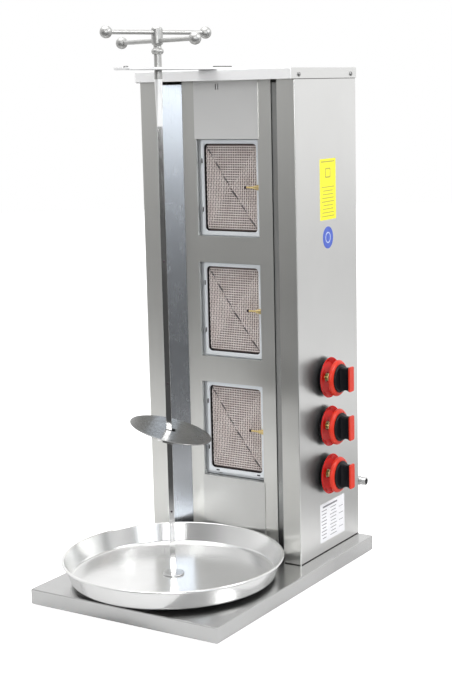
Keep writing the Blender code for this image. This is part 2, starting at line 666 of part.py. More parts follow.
def build_meat_disc():
    """A thin disc on a square sleeve. The loose sleeve lets it stand tilted on the bar."""
    inner, outer, half_t = 0.0090, 0.0105, 0.0008
    disc_z = SLEEVE_HALF
    sections = [
        (inner, inner, 0.0008, -SLEEVE_HALF), (inner, inner, 0.0008, disc_z + half_t),
        (DISC_R - 0.0004, DISC_R - 0.0004, DISC_R, disc_z + half_t), (DISC_R, DISC_R, DISC_R, disc_z),
        (DISC_R - 0.0004, DISC_R - 0.0004, DISC_R, disc_z - half_t), (outer, outer, 0.0012, disc_z - half_t),
        (outer, outer, 0.0012, -SLEEVE_HALF),
    ]
    tilt = Euler((*DISC_TILT, 0.0)).to_matrix().to_4x4()
    turn = Matrix.Rotation(SPIT_YAW, 4, "Z") @ tilt
    rotation = turn.to_euler()
    place = add_empty("disc_frame", (SPIT_X, SPIT_Y, DISC_Z), BROILER, rotation)
    disc = add_object("meat_disc", lofted_mesh("meat_disc", sections, 9, ring=True), POLISHED, parent=place)
    screw_z = -0.0080
    cut_bore(disc, (-0.010, 0.0, screw_z), 0.0033, 0.01, ALONG_X, 12, place)
    screw = ((0.0, 0.0042), (0.0014, 0.0042), (0.0029, 0.0060), (0.0029, 0.0125), (0.0048, 0.0125),
             (0.0052, 0.0133), (0.0052, 0.0192), (0.0046, 0.0200), (0.0, 0.0200))
    shape = turned_mesh("disc_screw", screw, 12)
    add_object("disc_screw", shape, POLISHED, (0.0, 0.0, screw_z), (0.0, -pi / 2, 0.0), place)


def build_handle():
    """Turned hub, two crossed rods and four balls."""
    profile = (
        (0.0, 1.0190), (0.0071, 1.0190), (0.0071, HUB_BOTTOM), (0.0090, HUB_BOTTOM), (0.0108, 1.0122),
        (0.0112, 1.0148), (0.0104, 1.0180), (0.0080, 1.0200), (0.0070, 1.0225), (0.0074, 1.0255),
        (0.0100, 1.0274), (0.0103, 1.0290), (0.0103, 1.0530), (0.0092, 1.0560), (0.0060, 1.0572),
        (0.0, HUB_TOP),
    )
    hub = add_object("handle_hub", turned_mesh("handle_hub", profile, 20), STEEL, (SPIT_X, SPIT_Y, 0.0))
    rod_half = ROD_REACH - BALL_R + 0.0055
    rod = ((0.0, -rod_half), (ROD_R, -rod_half), (ROD_R, rod_half), (0.0, rod_half))
    rod_shape = turned_mesh("handle_rod", rod, 12)
    bm = bmesh.new()
    bmesh.ops.create_uvsphere(bm, u_segments=16, v_segments=9, radius=BALL_R)
    ball_shape = finish_mesh(bm, "handle_ball", smooth=True)
    for height, yaw, place in zip(ROD_HEIGHTS, ROD_YAWS, ("upper", "lower")):
        centre = (SPIT_X, SPIT_Y, height)
        cut_bore(hub, centre, ROD_R + GAP, 0.03, (0.0, pi / 2, yaw), 12)
        add_object(f"handle_rod_{place}", rod_shape, STEEL, centre, (0.0, pi / 2, yaw))
        for side, end in ((-1, "a"), (1, "b")):
            x = SPIT_X + side * ROD_REACH * cos(yaw)
            y = SPIT_Y + side * ROD_REACH * sin(yaw)
            ball = add_object(f"handle_ball_{place}_{end}", ball_shape, STEEL, (x, y, height),
                              (0.0, pi / 2, yaw))
            bore_x = SPIT_X + side * (ROD_REACH - BALL_R) * cos(yaw)
            bore_y = SPIT_Y + side * (ROD_REACH - BALL_R) * sin(yaw)
            cut_bore(ball, (bore_x, bore_y, height), ROD_R + GAP, 0.0116, (0.0, pi / 2, yaw), 12)


# ---------------------------------------------------------------- assembly
build_base()
build_feet()
build_pivot_socket()
build_drip_tray()
build_casing_half("casing_left", -1)
build_casing_half("casing_right", 1)
build_reflector("reflector_left", -1)
build_reflector("reflector_right", 1)
build_burner_panel()
build_blanks()
build_back_panel()
build_cap()
build_top_arm()

probe = thermocouple_shape()
valve_body, plug = valve_shapes()
bezel_mesh, skirt_mesh, grip_mesh = bezel_shape(), skirt_shape(), grip_shape()
tube_columns = {"lower": 0.104, "middle": 0.100, "upper": 0.114}
for burner in BURNER_NAMES:
    build_burner(burner)
    build_ceramic_pack(burner)
    build_burner_mesh(burner)
    build_thermocouple(burner, probe)
    build_valve(burner, valve_body, plug)
    build_supply_tube(burner, tube_columns[burner])
    build_knob(burner, bezel_mesh, skirt_mesh, grip_mesh)
build_manifold()
build_gas_inlet()

build_spit()
build_spit_foot()
build_meat_disc()
build_handle()
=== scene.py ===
"""Looks of the vertical rotisserie broiler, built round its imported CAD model.

Lengths are metres. Pieces are laid out in the design frame of the machine: X to the right from the
middle of the base, Y from the base's front edge to the back, Z up from the floor.
"""
from math import atan2, cos, pi, radians, sin

import bmesh
import bpy
from mathutils import Euler, Matrix, Vector


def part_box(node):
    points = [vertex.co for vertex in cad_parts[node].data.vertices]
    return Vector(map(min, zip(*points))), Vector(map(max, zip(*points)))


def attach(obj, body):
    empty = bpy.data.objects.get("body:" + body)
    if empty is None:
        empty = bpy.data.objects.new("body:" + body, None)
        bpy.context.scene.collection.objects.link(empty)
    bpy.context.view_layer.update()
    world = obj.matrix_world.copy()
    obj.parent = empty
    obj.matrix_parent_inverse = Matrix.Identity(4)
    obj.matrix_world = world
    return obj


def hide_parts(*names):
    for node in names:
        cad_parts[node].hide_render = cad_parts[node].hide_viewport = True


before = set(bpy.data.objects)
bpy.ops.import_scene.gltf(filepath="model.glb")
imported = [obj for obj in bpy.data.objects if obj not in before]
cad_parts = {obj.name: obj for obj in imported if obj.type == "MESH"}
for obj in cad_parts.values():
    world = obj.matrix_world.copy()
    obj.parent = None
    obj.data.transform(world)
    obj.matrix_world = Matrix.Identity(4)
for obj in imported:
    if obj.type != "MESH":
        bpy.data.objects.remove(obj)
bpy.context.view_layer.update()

base_low, base_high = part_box("base_plate")
ORIGIN = Vector(((base_low.x + base_high.x) / 2, base_low.y, 0.0))


def middle(name):
    """The middle of a CAD piece's box, in the design frame."""
    low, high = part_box(name)
    return (low + high) / 2 - ORIGIN


# ---------------------------------------------------------------- sizes
SHEET = 0.0012
FLOOR_GAP = base_low.z
BASE_TOP = base_high.z
BASE_W = base_high.x - base_low.x
BASE_D = base_high.y - base_low.y
case_low, case_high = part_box("casing_right")
CASE_HALF_W = case_high.x - ORIGIN.x
CASE_FRONT = case_low.y - ORIGIN.y
CASE_BACK = case_high.y - ORIGIN.y
panel_low, panel_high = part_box("burner_panel")
PANEL_Y = panel_low.y - ORIGIN.y
PANEL_HALF_W = panel_high.x - ORIGIN.x
WINDOW_HALF_W = 0.0704
WINDOW_HALF_H = 0.0945
tray_low, tray_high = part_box("drip_tray")
SPIT = middle("drip_tray")
SPIT.z = 0.0
SPIT_YAW = radians(35.0)
BURNERS = ("lower", "middle", "upper")
BURNER_Z = {name: middle("burner_mesh_" + name).z for name in BURNERS}
KNOB_Z = {name: middle("knob_skirt_" + name).z for name in BURNERS}
KNOB_Y = 0.464
PIPE_X = 0.14
INLET_Y = 0.618
INLET_Z = 0.138
DISC_Z = 0.309
DISC_TILT = (radians(3.4), radians(14.6))

ALONG_X = (0.0, pi / 2, 0.0)
FACING_FRONT = (pi / 2, 0.0, 0.0)


# ---------------------------------------------------------------- materials
def node(tree, kind, sockets=(), **values):
    """Add a node with values for its settings and, by name or place, for its input sockets."""
    made = tree.nodes.new(kind)
    for key, value in values.items():
        setattr(made, key, value)
    for socket, value in dict(sockets).items():
        made.inputs[socket].default_value = value
    return made


def link(a, b):
    a.id_data.links.new(a, b)


def new_material(name, colour, metallic, roughness, **constants):
    """Returns the material, its node tree and its shader node."""
    mat = bpy.data.materials.new(name)
    mat.use_nodes = True
    shader = mat.node_tree.nodes["Principled BSDF"]
    constants |= {"Base_Color": (*colour, 1.0), "Metallic": metallic, "Roughness": roughness}
    for socket, value in constants.items():
        shader.inputs[socket.replace("_", " ")].default_value = value
    return mat, mat.node_tree, shader


def grey(value):
    return (value, value, value)


def object_place(tree):
    return node(tree, "ShaderNodeTexCoord").outputs["Object"]


def scaled_place(tree, scale):
    """Places on the piece, enlarged by one number or by one for each axis."""
    if isinstance(scale, float):
        scale = (scale, scale, scale)
    mapping = node(tree, "ShaderNodeMapping", {"Scale": scale})
    link(object_place(tree), mapping.inputs["Vector"])
    return mapping.outputs["Vector"]


def noise(tree, scale, detail=3.0, roughness=0.55, distortion=0.0):
    """A noise field over the piece."""
    field = node(tree, "ShaderNodeTexNoise",
                 {"Scale": 1.0, "Detail": detail, "Roughness": roughness, "Distortion": distortion})
    link(scaled_place(tree, scale), field.inputs["Vector"])
    return field.outputs["Fac"]


def ranged(value, low, high, start=0.3, end=0.7):
    span = node(value.id_data, "ShaderNodeMapRange",
                {"From Min": start, "From Max": end, "To Min": low, "To Max": high})
    link(value, span.inputs["Value"])
    return span.outputs["Result"]


def blended(factor, first, second):
    mix = node(factor.id_data, "ShaderNodeMix", data_type="RGBA")
    link(factor, mix.inputs["Factor"])
    for socket, colour in (("A", first), ("B", second)):
        target = [i for i in mix.inputs if i.name == socket and i.type == "RGBA"][0]
        if isinstance(colour, tuple):
            target.default_value = (*colour, 1.0)
        else:
            link(colour, target)
    return [o for o in mix.outputs if o.type == "RGBA"][0]


def summed(a, b, operation="ADD"):
    maths = node(a.id_data, "ShaderNodeMath", operation=operation)
    link(a, maths.inputs[0])
    if isinstance(b, float):
        maths.inputs[1].default_value = b
    else:
        link(b, maths.inputs[1])
    return maths.outputs["Value"]


def dotted(vector, direction):
    product = node(vector.id_data, "ShaderNodeVectorMath", {1: direction}, operation="DOT_PRODUCT")
    link(vector, product.inputs[0])
    return product.outputs["Value"]


def bumped(shader, height, strength, distance):
    bump = node(shader.id_data, "ShaderNodeBump", {"Strength": strength, "Distance": distance})
    link(height, bump.inputs["Height"])
    link(bump.outputs["Normal"], shader.inputs["Normal"])


def brushed_metal(name, light, dark, roughness, grain_axis, spread=0.02, bump=0.004, metallic=1.0):
    """Ground sheet metal: fine lines along one axis, soft cloudy stains and finger marks."""
    mat, tree, shader = new_material(name, light, metallic, roughness)
    scale = [1400.0] * 3
    scale["XYZ".index(grain_axis)] = 9.0
    grain = noise(tree, scale, 2.0)
    coarse = [160.0] * 3
    coarse["XYZ".index(grain_axis)] = 3.0
    bands = noise(tree, coarse, 2.0)
    cloud = noise(tree, (5.0, 5.0, 3.5), 3.0, 0.6, 0.4)
    marks = noise(tree, (26.0, 26.0, 20.0), 4.0, 0.7, 0.8)
    colour = blended(ranged(cloud, 0.0, 1.0), light, dark)
    link(blended(ranged(bands, 0.0, 0.2), colour, dark), shader.inputs["Base Color"])
    rough = summed(ranged(grain, roughness - spread, roughness + spread), ranged(marks, -0.01, 0.015))
    link(rough, shader.inputs["Roughness"])
    bumped(shader, summed(grain, bands), bump, 0.00015)
    return mat


def turned_metal(name, light, dark, roughness, anisotropic=0.0, spread=0.05, bump=0.03, metallic=1.0):
    """Metal turned or spun round its own Z axis: fine rings, and a fan-shaped gloss if anisotropic."""
    mat, tree, shader = new_material(name, light, metallic, roughness, Anisotropic=anisotropic)
    parts = node(tree, "ShaderNodeSeparateXYZ")
    link(object_place(tree), parts.inputs["Vector"])
    squares = [summed(parts.outputs[axis], parts.outputs[axis], "MULTIPLY") for axis in "XY"]
    radius = node(tree, "ShaderNodeMath", operation="SQRT")
    link(summed(*squares), radius.inputs[0])
    ring_place = node(tree, "ShaderNodeCombineXYZ")
    link(radius.outputs["Value"], ring_place.inputs["X"])
    link(parts.outputs["Z"], ring_place.inputs["Z"])
    texture = node(tree, "ShaderNodeTexNoise", {"Scale": 900.0, "Detail": 2.0})
    link(ring_place.outputs["Vector"], texture.inputs["Vector"])
    rings = texture.outputs["Fac"]
    cloud = noise(tree, 14.0, 4.0, 0.65, 0.5)
    link(blended(ranged(cloud, 0.0, 1.0), light, dark), shader.inputs["Base Color"])
    rough = summed(ranged(rings, roughness - spread, roughness + spread),
                   ranged(cloud, -0.6 * spread, 0.8 * spread))
    link(rough, shader.inputs["Roughness"])
    if anisotropic:
        tangent = node(tree, "ShaderNodeTangent", direction_type="RADIAL", axis="Z")
        link(tangent.outputs["Tangent"], shader.inputs["Tangent"])
    bumped(shader, rings, bump, 0.0001)
    return mat


def plastic(name, light, dark, roughness, gloss=0.3, texture=2600.0, bump=0.04):
    """Moulded plastic: a very fine skin texture, slight colour drift and handling marks.

    Bright plastic is painted near-black where glossy rays see it: a painted dark reflection in the steel
    beside it, standing in for the shade there.
    """
    mat, tree, shader = new_material(name, light, 0.0, roughness, Specular_IOR_Level=gloss)
    cloud = noise(tree, 60.0, 3.0, 0.6)
    colour = blended(ranged(cloud, 0.0, 1.0), light, dark)
    if light[0] > 0.3:
        # Painted reflection: bright plastic turns near-black in any reflection of it.
        rays = node(tree, "ShaderNodeLightPath")
        colour = blended(rays.outputs["Is Glossy Ray"], colour, (0.05, 0.018, 0.016))
    link(colour, shader.inputs["Base Color"])
    link(ranged(cloud, roughness - 0.05, roughness + 0.07), shader.inputs["Roughness"])
    bumped(shader, noise(tree, texture, 2.0), bump, 0.0001)
    return mat


CASE_STEEL = brushed_metal("case_steel", (0.735, 0.735, 0.71), (0.7, 0.7, 0.675), 0.3, "Z", 0.01, 0.002)
SIDE_STEEL = brushed_metal("side_steel", (0.76, 0.76, 0.75), (0.73, 0.73, 0.72), 0.3, "Z")
BASE_STEEL = brushed_metal("base_steel", (0.56, 0.56, 0.557), (0.49, 0.49, 0.487), 0.22, "X")
# Lit and shaded copies of the lid's steel: a darker copy for top faces, painted shade, and a near-white,
# hardly metallic copy for the lid's front and the arm's edges, painted highlight.
PAINTED_SHADE_TOP_STEEL = brushed_metal("painted_shade_top_steel", (0.58, 0.58, 0.577), (0.51, 0.51, 0.507), 0.3, "X")
PAINTED_LIGHT_STEEL = brushed_metal("painted_light_steel", grey(0.97), grey(0.94), 0.42, "X", metallic=0.15)
BLANK_STEEL = brushed_metal("blank_steel", (0.95, 0.95, 0.94), (0.91, 0.91, 0.9), 0.42, "X", metallic=0.8)
LOW_STEEL = brushed_metal("low_blank_steel", (0.7, 0.7, 0.685), (0.64, 0.64, 0.625), 0.36, "X")
WING_STEEL = brushed_metal("reflector_steel", (0.58, 0.6, 0.63), (0.53, 0.55, 0.58), 0.26, "Z", 0.01, 0.001)
# A much darker copy of the reflector steel: painted shade, on the right reflector and along one fold of the
# wire cloth.
PAINTED_SHADE_STEEL = brushed_metal("painted_shade_steel", (0.24, 0.245, 0.25), (0.18, 0.185, 0.19), 0.3, "Z")
FRAME_ZINC = brushed_metal("burner_frame_zinc", (0.94, 0.96, 0.98), (0.8, 0.84, 0.88), 0.4, "Z",
                           metallic=0.3)
# A near-white, hardly metallic steel for the spit's taper: painted highlight.
PAINTED_LIGHT_TAPER_STEEL = brushed_metal("painted_light_taper_steel", grey(0.97), grey(0.93), 0.3, "Z", metallic=0.15)
SPIT_STEEL = brushed_metal("spit_steel", grey(0.8), grey(0.7), 0.1, "Z")
DISC_STEEL = turned_metal("disc_steel", (0.32, 0.32, 0.315), (0.26, 0.26, 0.255), 0.26, 0.2)
TRAY_METAL = turned_metal("tray_aluminium", (0.82, 0.82, 0.815), (0.78, 0.78, 0.775), 0.2, 0.0, 0.012, 0.002,
                          0.8)
HANDLE_STEEL = turned_metal("handle_steel", (0.53, 0.53, 0.52), (0.44, 0.44, 0.43), 0.44, metallic=0.85)
HEAD_STEEL = turned_metal("screw_head_steel", grey(0.3), grey(0.22), 0.35)
# Near-black steel: heat-darkened on the cloth seats, where it is also painted shade round the wire cloth,
# and a painted shadow in the thin strips under the lid and along the casing's foot.
SCORCH_AND_SHADE = turned_metal("scorch_and_shade_steel", (0.1, 0.09, 0.09), (0.05, 0.045, 0.045), 0.6)
TURNED_STEEL = turned_metal("turned_steel", grey(0.64), grey(0.55), 0.3)
SCREW_STEEL = turned_metal("screw_steel", grey(0.7), grey(0.6), 0.28)
BRASS = turned_metal("aged_brass", (0.82, 0.66, 0.32), (0.68, 0.52, 0.24), 0.3)
PROBE_TIP = turned_metal("probe_tip", (0.1, 0.08, 0.09), (0.05, 0.04, 0.05), 0.45)
RED = plastic("red_plastic", (0.72, 0.04, 0.018), (0.64, 0.032, 0.014), 0.3)
DEEP_RED = plastic("deep_red_plastic", (0.8, 0.012, 0.008), (0.7, 0.008, 0.005), 0.1, 0.1)
BLACK = plastic("black_plastic", (0.005, 0.005, 0.007), (0.008, 0.008, 0.01), 0.4, 0.22, 3200.0, 0.1)
RUBBER = plastic("black_rubber", grey(0.02), (0.035, 0.035, 0.034), 0.75, 0.3, 1500.0, 0.2)


def mesh_wire_material():
    mat, tree, shader = new_material("mesh_wire", (0.8, 0.72, 0.69), 0.35, 0.5)
    heat = noise(tree, 38.0, 4.0, 0.65, 0.6)
    fine = noise(tree, 900.0, 2.0)
    colour = blended(ranged(heat, 0.0, 1.0), (0.98, 0.91, 0.88), (0.78, 0.69, 0.66))
    link(colour, shader.inputs["Base Color"])
    link(ranged(fine, 0.38, 0.6), shader.inputs["Roughness"])
    bumped(shader, fine, 0.2, 0.0001)
    return mat


def ceramic_material():
    """Fired ceramic with rows of small burner ports, painted dark as shade behind the wire cloth, the ports
    darker still as painted shade in the holes.
    """
    mat, tree, shader = new_material("burner_ceramic", (0.7, 0.6, 0.54), 0.0, 0.85)
    ports = node(tree, "ShaderNodeTexVoronoi", {"Scale": 1.0, "Randomness": 0.15})
    link(scaled_place(tree, 420.0), ports.inputs["Vector"])
    hole = ranged(ports.outputs["Distance"], 1.0, 0.0, 0.25, 0.42)
    dust = noise(tree, 60.0, 4.0)
    # Painted shade: the ceramic is coloured dark, its ports darker.
    body = blended(ranged(dust, 0.0, 1.0), (0.3, 0.24, 0.22), (0.22, 0.17, 0.16))
    link(blended(hole, body, (0.12, 0.09, 0.08)), shader.inputs["Base Color"])
    link(ranged(dust, 0.78, 0.92), shader.inputs["Roughness"])
    bumped(shader, ports.outputs["Distance"], 0.5, 0.0008)
    return mat


def label_material(name, colour, worn):
    mat, tree, shader = new_material(name, colour, 0.0, 0.42, Coat_Weight=0.25, Coat_Roughness=0.15)
    cloud = noise(tree, 70.0, 3.0)
    link(blended(ranged(cloud, 0.0, 1.0), colour, worn), shader.inputs["Base Color"])
    link(ranged(cloud, 0.36, 0.5), shader.inputs["Roughness"])
    bumped(shader, noise(tree, 1200.0, 2.0), 0.05, 0.00005)
    return mat


WIRE = mesh_wire_material()
CERAMIC = ceramic_material()
YELLOW_LABEL = label_material("yellow_label", (1.0, 0.94, 0.005), (0.95, 0.88, 0.01))
WHITE_LABEL = label_material("white_label", (0.88, 0.88, 0.9), (0.82, 0.82, 0.85))
BLUE_LABEL = label_material("blue_label", (0.06, 0.13, 0.6), (0.05, 0.1, 0.52))
LABEL_INK = label_material("label_ink", (0.16, 0.16, 0.18), (0.24, 0.24, 0.26))
OLIVE_INK = label_material("olive_ink", (0.42, 0.38, 0.04), (0.5, 0.46, 0.05))
PALE_INK = label_material("pale_ink", (0.55, 0.62, 0.86), (0.48, 0.55, 0.8))


# ---------------------------------------------------------------- meshes
def to_mesh(bm, merge=1e-6):
    bmesh.ops.remove_doubles(bm, verts=bm.verts, dist=merge)
    bmesh.ops.recalc_face_normals(bm, faces=bm.faces)
    mesh = bpy.data.meshes.new("mesh")
    bm.to_mesh(mesh)
    bm.free()
    return mesh


def skin(bm, rows):
    """Join closed rows of vertices, as many in each, by four-sided faces."""
    for row, following in zip(rows, rows[1:]):
        for i in range(len(row)):
            j = (i + 1) % len(row)
            bm.faces.new((row[i], row[j], following[j], following[i]))


def close_ends(bm, rows):
    bm.faces.new(list(reversed(rows[0])))
    bm.faces.new(rows[-1])


def round_row(radius, count, start=0.0):
    """Corners of a regular outline round the origin."""
    angles = [start + 2 * pi * k / count for k in range(count)]
    return [(radius * cos(a), radius * sin(a)) for a in angles]


def coat(mesh, materials, choose):
    """Give a mesh several materials. choose(face) tells which of them a face has."""
    for material in materials:
        mesh.materials.append(material)
    for face in mesh.polygons:
        face.material_index = choose(face)


def turned(profile, steps=64, closed=False):
    """Spin (radius, height) points round Z."""
    bm = bmesh.new()
    verts = [bm.verts.new((r, 0.0, z)) for r, z in profile]
    edges = [bm.edges.new(pair) for pair in zip(verts, verts[1:])]
    if closed:
        edges.append(bm.edges.new((verts[-1], verts[0])))
    bmesh.ops.spin(bm, geom=verts + edges, cent=(0, 0, 0), axis=(0, 0, 1), angle=2 * pi, steps=steps,
                   use_merge=True)
    return to_mesh(bm)


def rounded_rectangle(half_w, half_h, radius, steps):
    radius = min(max(radius, 1e-5), half_w, half_h)
    points = []
    for quarter, (sx, sy) in enumerate(((1, 1), (-1, 1), (-1, -1), (1, -1))):
        for step in range(steps + 1):
            angle = quarter * pi / 2 + step * pi / 2 / steps
            points.append((sx * (half_w - radius) + radius * cos(angle),
                           sy * (half_h - radius) + radius * sin(angle)))
    return points


def lofted(sections, steps=6, ring=False, centre=(0.0, 0.0)):
    """Join rounded rectangles (half_w, half_h, corner radius, height) in order."""
    bm = bmesh.new()
    loops = []
    for half_w, half_h, radius, height in sections:
        points = rounded_rectangle(half_w, half_h, radius, steps)
        loops.append([bm.verts.new((x + centre[0], y + centre[1], height)) for x, y in points])
    if ring:
        skin(bm, loops + loops[:1])
    else:
        skin(bm, loops)
        close_ends(bm, loops)
    return to_mesh(bm)


def rounded_line(line, radius, steps=4):
    """Replace each inner corner of a flat line of points by an arc."""
    points = [Vector(line[0])]
    for before, corner, after in zip(line, line[1:], line[2:]):
        corner = Vector(corner)
        back = Vector(before) - corner
        ahead = Vector(after) - corner
        half = back.angle(ahead) / 2
        reach = radius / max(abs(sin(half) / cos(half)), 1e-6)
        start = corner + back.normalized() * reach
        centre = corner + (back.normalized() + ahead.normalized()).normalized() * radius / sin(half)
        spoke = start - centre
        turn = pi - 2 * half
        sign = 1.0 if back.x * ahead.y - back.y * ahead.x < 0 else -1.0
        for step in range(steps + 1):
            a = sign * turn * step / steps
            points.append(centre + Vector((spoke.x * cos(a) - spoke.y * sin(a),
                                           spoke.x * sin(a) + spoke.y * cos(a))))
    points.append(Vector(line[-1]))
    return points


def bent_sheet(line, thickness, bottom, top, bend=0.002):
    """A vertical sheet folded along a line of (x, y) points, thickness on the line's left."""
    points = rounded_line(line, bend)
    inner = []
    for i, point in enumerate(points):
        before = (point - points[i - 1]).normalized() if i else None
        after = (points[i + 1] - point).normalized() if i < len(points) - 1 else None
        normals = [Vector((-d.y, d.x)) for d in (before, after) if d is not None]
        mitre = sum(normals, Vector((0.0, 0.0))).normalized()
        inner.append(point + mitre * thickness / mitre.dot(normals[0]))
    bm = bmesh.new()
    rows = [[bm.verts.new((p.x, p.y, z)) for p in side] for z in (bottom, top) for side in (points, inner)]
    out_low, in_low, out_high, in_high = rows
    for i in range(len(points) - 1):
        bm.faces.new((out_low[i], out_low[i + 1], out_high[i + 1], out_high[i]))
        bm.faces.new((in_low[i + 1], in_low[i], in_high[i], in_high[i + 1]))
        bm.faces.new((out_low[i + 1], out_low[i], in_low[i], in_low[i + 1]))
        bm.faces.new((out_high[i], out_high[i + 1], in_high[i + 1], in_high[i]))
    for i in (0, -1):
        bm.faces.new((out_low[i], out_high[i], in_high[i], in_low[i]))
    return to_mesh(bm)


def holed_plate(outline, holes, depth=0.0):
    """A flat face in the XZ plane with holes. Each hole's edge can be drawn back by a depth."""
    bm = bmesh.new()
    edges = []
    loops = []
    for points in [outline] + holes:
        verts = [bm.verts.new((x, 0.0, z)) for x, z in points]
        loop = [bm.edges.new((verts[i], verts[(i + 1) % len(verts)])) for i in range(len(verts))]
        edges += loop
        loops.append(verts)
    bmesh.ops.triangle_fill(bm, use_beauty=True, use_dissolve=False, edges=edges)
    if depth:
        for verts in loops[1:]:
            skin(bm, [verts, [bm.verts.new((v.co.x, depth, v.co.z)) for v in verts]])
    bmesh.ops.recalc_face_normals(bm, faces=bm.faces)
    front = [f for f in bm.faces if abs(f.normal.y) > 0.9]
    if front and front[0].normal.y > 0:
        bmesh.ops.reverse_faces(bm, faces=bm.faces)
    mesh = bpy.data.meshes.new("mesh")
    bm.to_mesh(mesh)
    bm.free()
    return mesh


def rectangle(x0, x1, z0, z1, radius=0.0, steps=4):
    if not radius:
        return [(x0, z0), (x1, z0), (x1, z1), (x0, z1)]
    loop = rounded_rectangle((x1 - x0) / 2, (z1 - z0) / 2, radius, steps)
    return [((x0 + x1) / 2 + x, (z0 + z1) / 2 + z) for x, z in loop]


def extruded(outline, low, high):
    """A flat outline of (x, y) points between two heights."""
    bm = bmesh.new()
    rows = [[bm.verts.new((x, y, z)) for x, y in outline] for z in (low, high)]
    skin(bm, rows)
    close_ends(bm, rows)
    return to_mesh(bm)


def swept(points, radius, sides=24):
    """A round bar along points, its rings carried from one to the next without twist."""
    bm = bmesh.new()
    across = None
    rings = []
    for i, point in enumerate(points):
        along = (points[min(i + 1, len(points) - 1)] - points[max(i - 1, 0)]).normalized()
        if across is None:
            across = along.orthogonal().normalized()
        across = (across - along * across.dot(along)).normalized()
        side = along.cross(across)
        rings.append([bm.verts.new(point + across * x + side * y) for x, y in round_row(radius, sides)])
    skin(bm, rings)
    close_ends(bm, rings)
    return to_mesh(bm)


# ---------------------------------------------------------------- pieces
def add_object(name, data):
    obj = bpy.data.objects.new(name, data)
    bpy.context.scene.collection.objects.link(obj)
    return obj


def recoat(name, material):
    """Give a piece that is shown as the CAD has it one of the materials made here."""
    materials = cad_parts[name].data.materials
    materials.clear()
    materials.append(material)


def squares(sections):
    """Square sections (half_size, corner radius, height), written out for lofted()."""
    return [(half, half, corner, height) for half, corner, height in sections]


def piece(name, mesh, material, body="frame", stands_for=None, at=(0.0, 0.0, 0.0),
          turn=(0.0, 0.0, 0.0), smooth=35.0, edge=0.0, sheet=0.0, matrix=None):
    mesh.name = name
    obj = add_object(name, mesh)
    if not mesh.materials:
        mesh.materials.append(material)
    if matrix is None:
        obj.matrix_world = Matrix.Translation(ORIGIN + Vector(at)) @ Euler(turn).to_matrix().to_4x4()
    else:
        obj.matrix_world = Matrix.Translation(ORIGIN) @ matrix
    if smooth:
        mesh.shade_smooth()
        mesh.set_sharp_from_angle(angle=radians(smooth))
    if sheet:
        solid = obj.modifiers.new("Sheet", "SOLIDIFY")
        solid.thickness = sheet
        solid.offset = -1.0
        solid.use_even_offset = True
    if edge:
        bevel = obj.modifiers.new("Edges", "BEVEL")
        bevel.width = edge
        bevel.segments = 2
        bevel.limit_method = "ANGLE"
        bevel.angle_limit = radians(40)
        bevel.harden_normals = True
    if smooth:
        normals = obj.modifiers.new("Normals", "WEIGHTED_NORMAL")
        normals.keep_sharp = True
    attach(obj, body)
    if stands_for:
        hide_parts(stands_for)


def arc(x, y, radius, start, end, steps):
    """Points of a circle's arc round (x, y). Its angles are degrees."""
    angles = [radians(start + (end - start) * step / steps) for step in range(steps + 1)]
    return [(x + radius * cos(a), y + radius * sin(a)) for a in angles]


def pan_mesh(half_w, half_d, thickness, bottom, top, bend, corner):
    """An upside-down folded pan: open underneath, with rounded folds along its top edges."""
    sections = [(half_w - thickness, half_d - thickness, corner, top - thickness),
                (half_w - thickness, half_d - thickness, corner, bottom), (half_w, half_d, corner, bottom)]
    for step in range(6):
        a = radians(18 * step)
        inset = bend * (1 - cos(a))
        sections.append((half_w - inset, half_d - inset, max(corner - inset, 0.0002),
                         top - bend + bend * sin(a)))
    return lofted(sections, 4)


def build_base():
    mesh = pan_mesh(BASE_W / 2, BASE_D / 2, 0.0015, FLOOR_GAP, BASE_TOP, 0.0022, 0.0022)
    piece("base_pan", mesh, BASE_STEEL, stands_for="base_plate", at=(0.0, BASE_D / 2, 0.0), smooth=30)
    height = BASE_TOP - 0.0018
    profile = [(0.0, 0.0), (0.0135, 0.0)] + arc(0.0135, 0.0015, 0.0015, -90, 0, 4)
    profile += [(0.0158, 0.004), (0.017, 0.006), (0.0175, height), (0.0, height)]
    for name in ("front_left", "front_right", "back_left", "back_right"):
        place = middle("foot_" + name)
        piece("rubber_foot_" + name, turned(profile, 40), RUBBER, stands_for="foot_" + name,
              at=(place.x, place.y, 0.0))


def build_tray():
    bottom, floor_top = tray_low.z, tray_low.z + 0.0015
    rim_r, rim_z = (tray_high.x - tray_low.x) / 2, tray_high.z
    floor_r = 0.1965
    curl = 0.0028
    outer = [(0.013, bottom), (0.06, bottom), (0.12, bottom), (floor_r - 0.008, bottom)]
    outer += arc(floor_r - 0.0075, bottom + 0.0075, 0.0075, -78, -18, 6)
    wall_top = (rim_r - 2 * curl + 0.0003, rim_z - 0.0068)
    curl_middle = (rim_r - curl, rim_z - curl)
    rim = arc(curl_middle[0], curl_middle[1], curl, -125, 160, 16)
    inner_corner = arc(floor_r - 0.008, floor_top + 0.0068, 0.0062, -18, -82, 6)
    inner = [(floor_r - 0.012, floor_top), (0.12, floor_top), (0.06, floor_top), (0.013, floor_top)]
    profile = outer + [wall_top] + rim + inner_corner + inner
    piece("spun_tray", turned(profile, 160, closed=True), TRAY_METAL, "drip_tray", "drip_tray", at=SPIT,
          smooth=50)


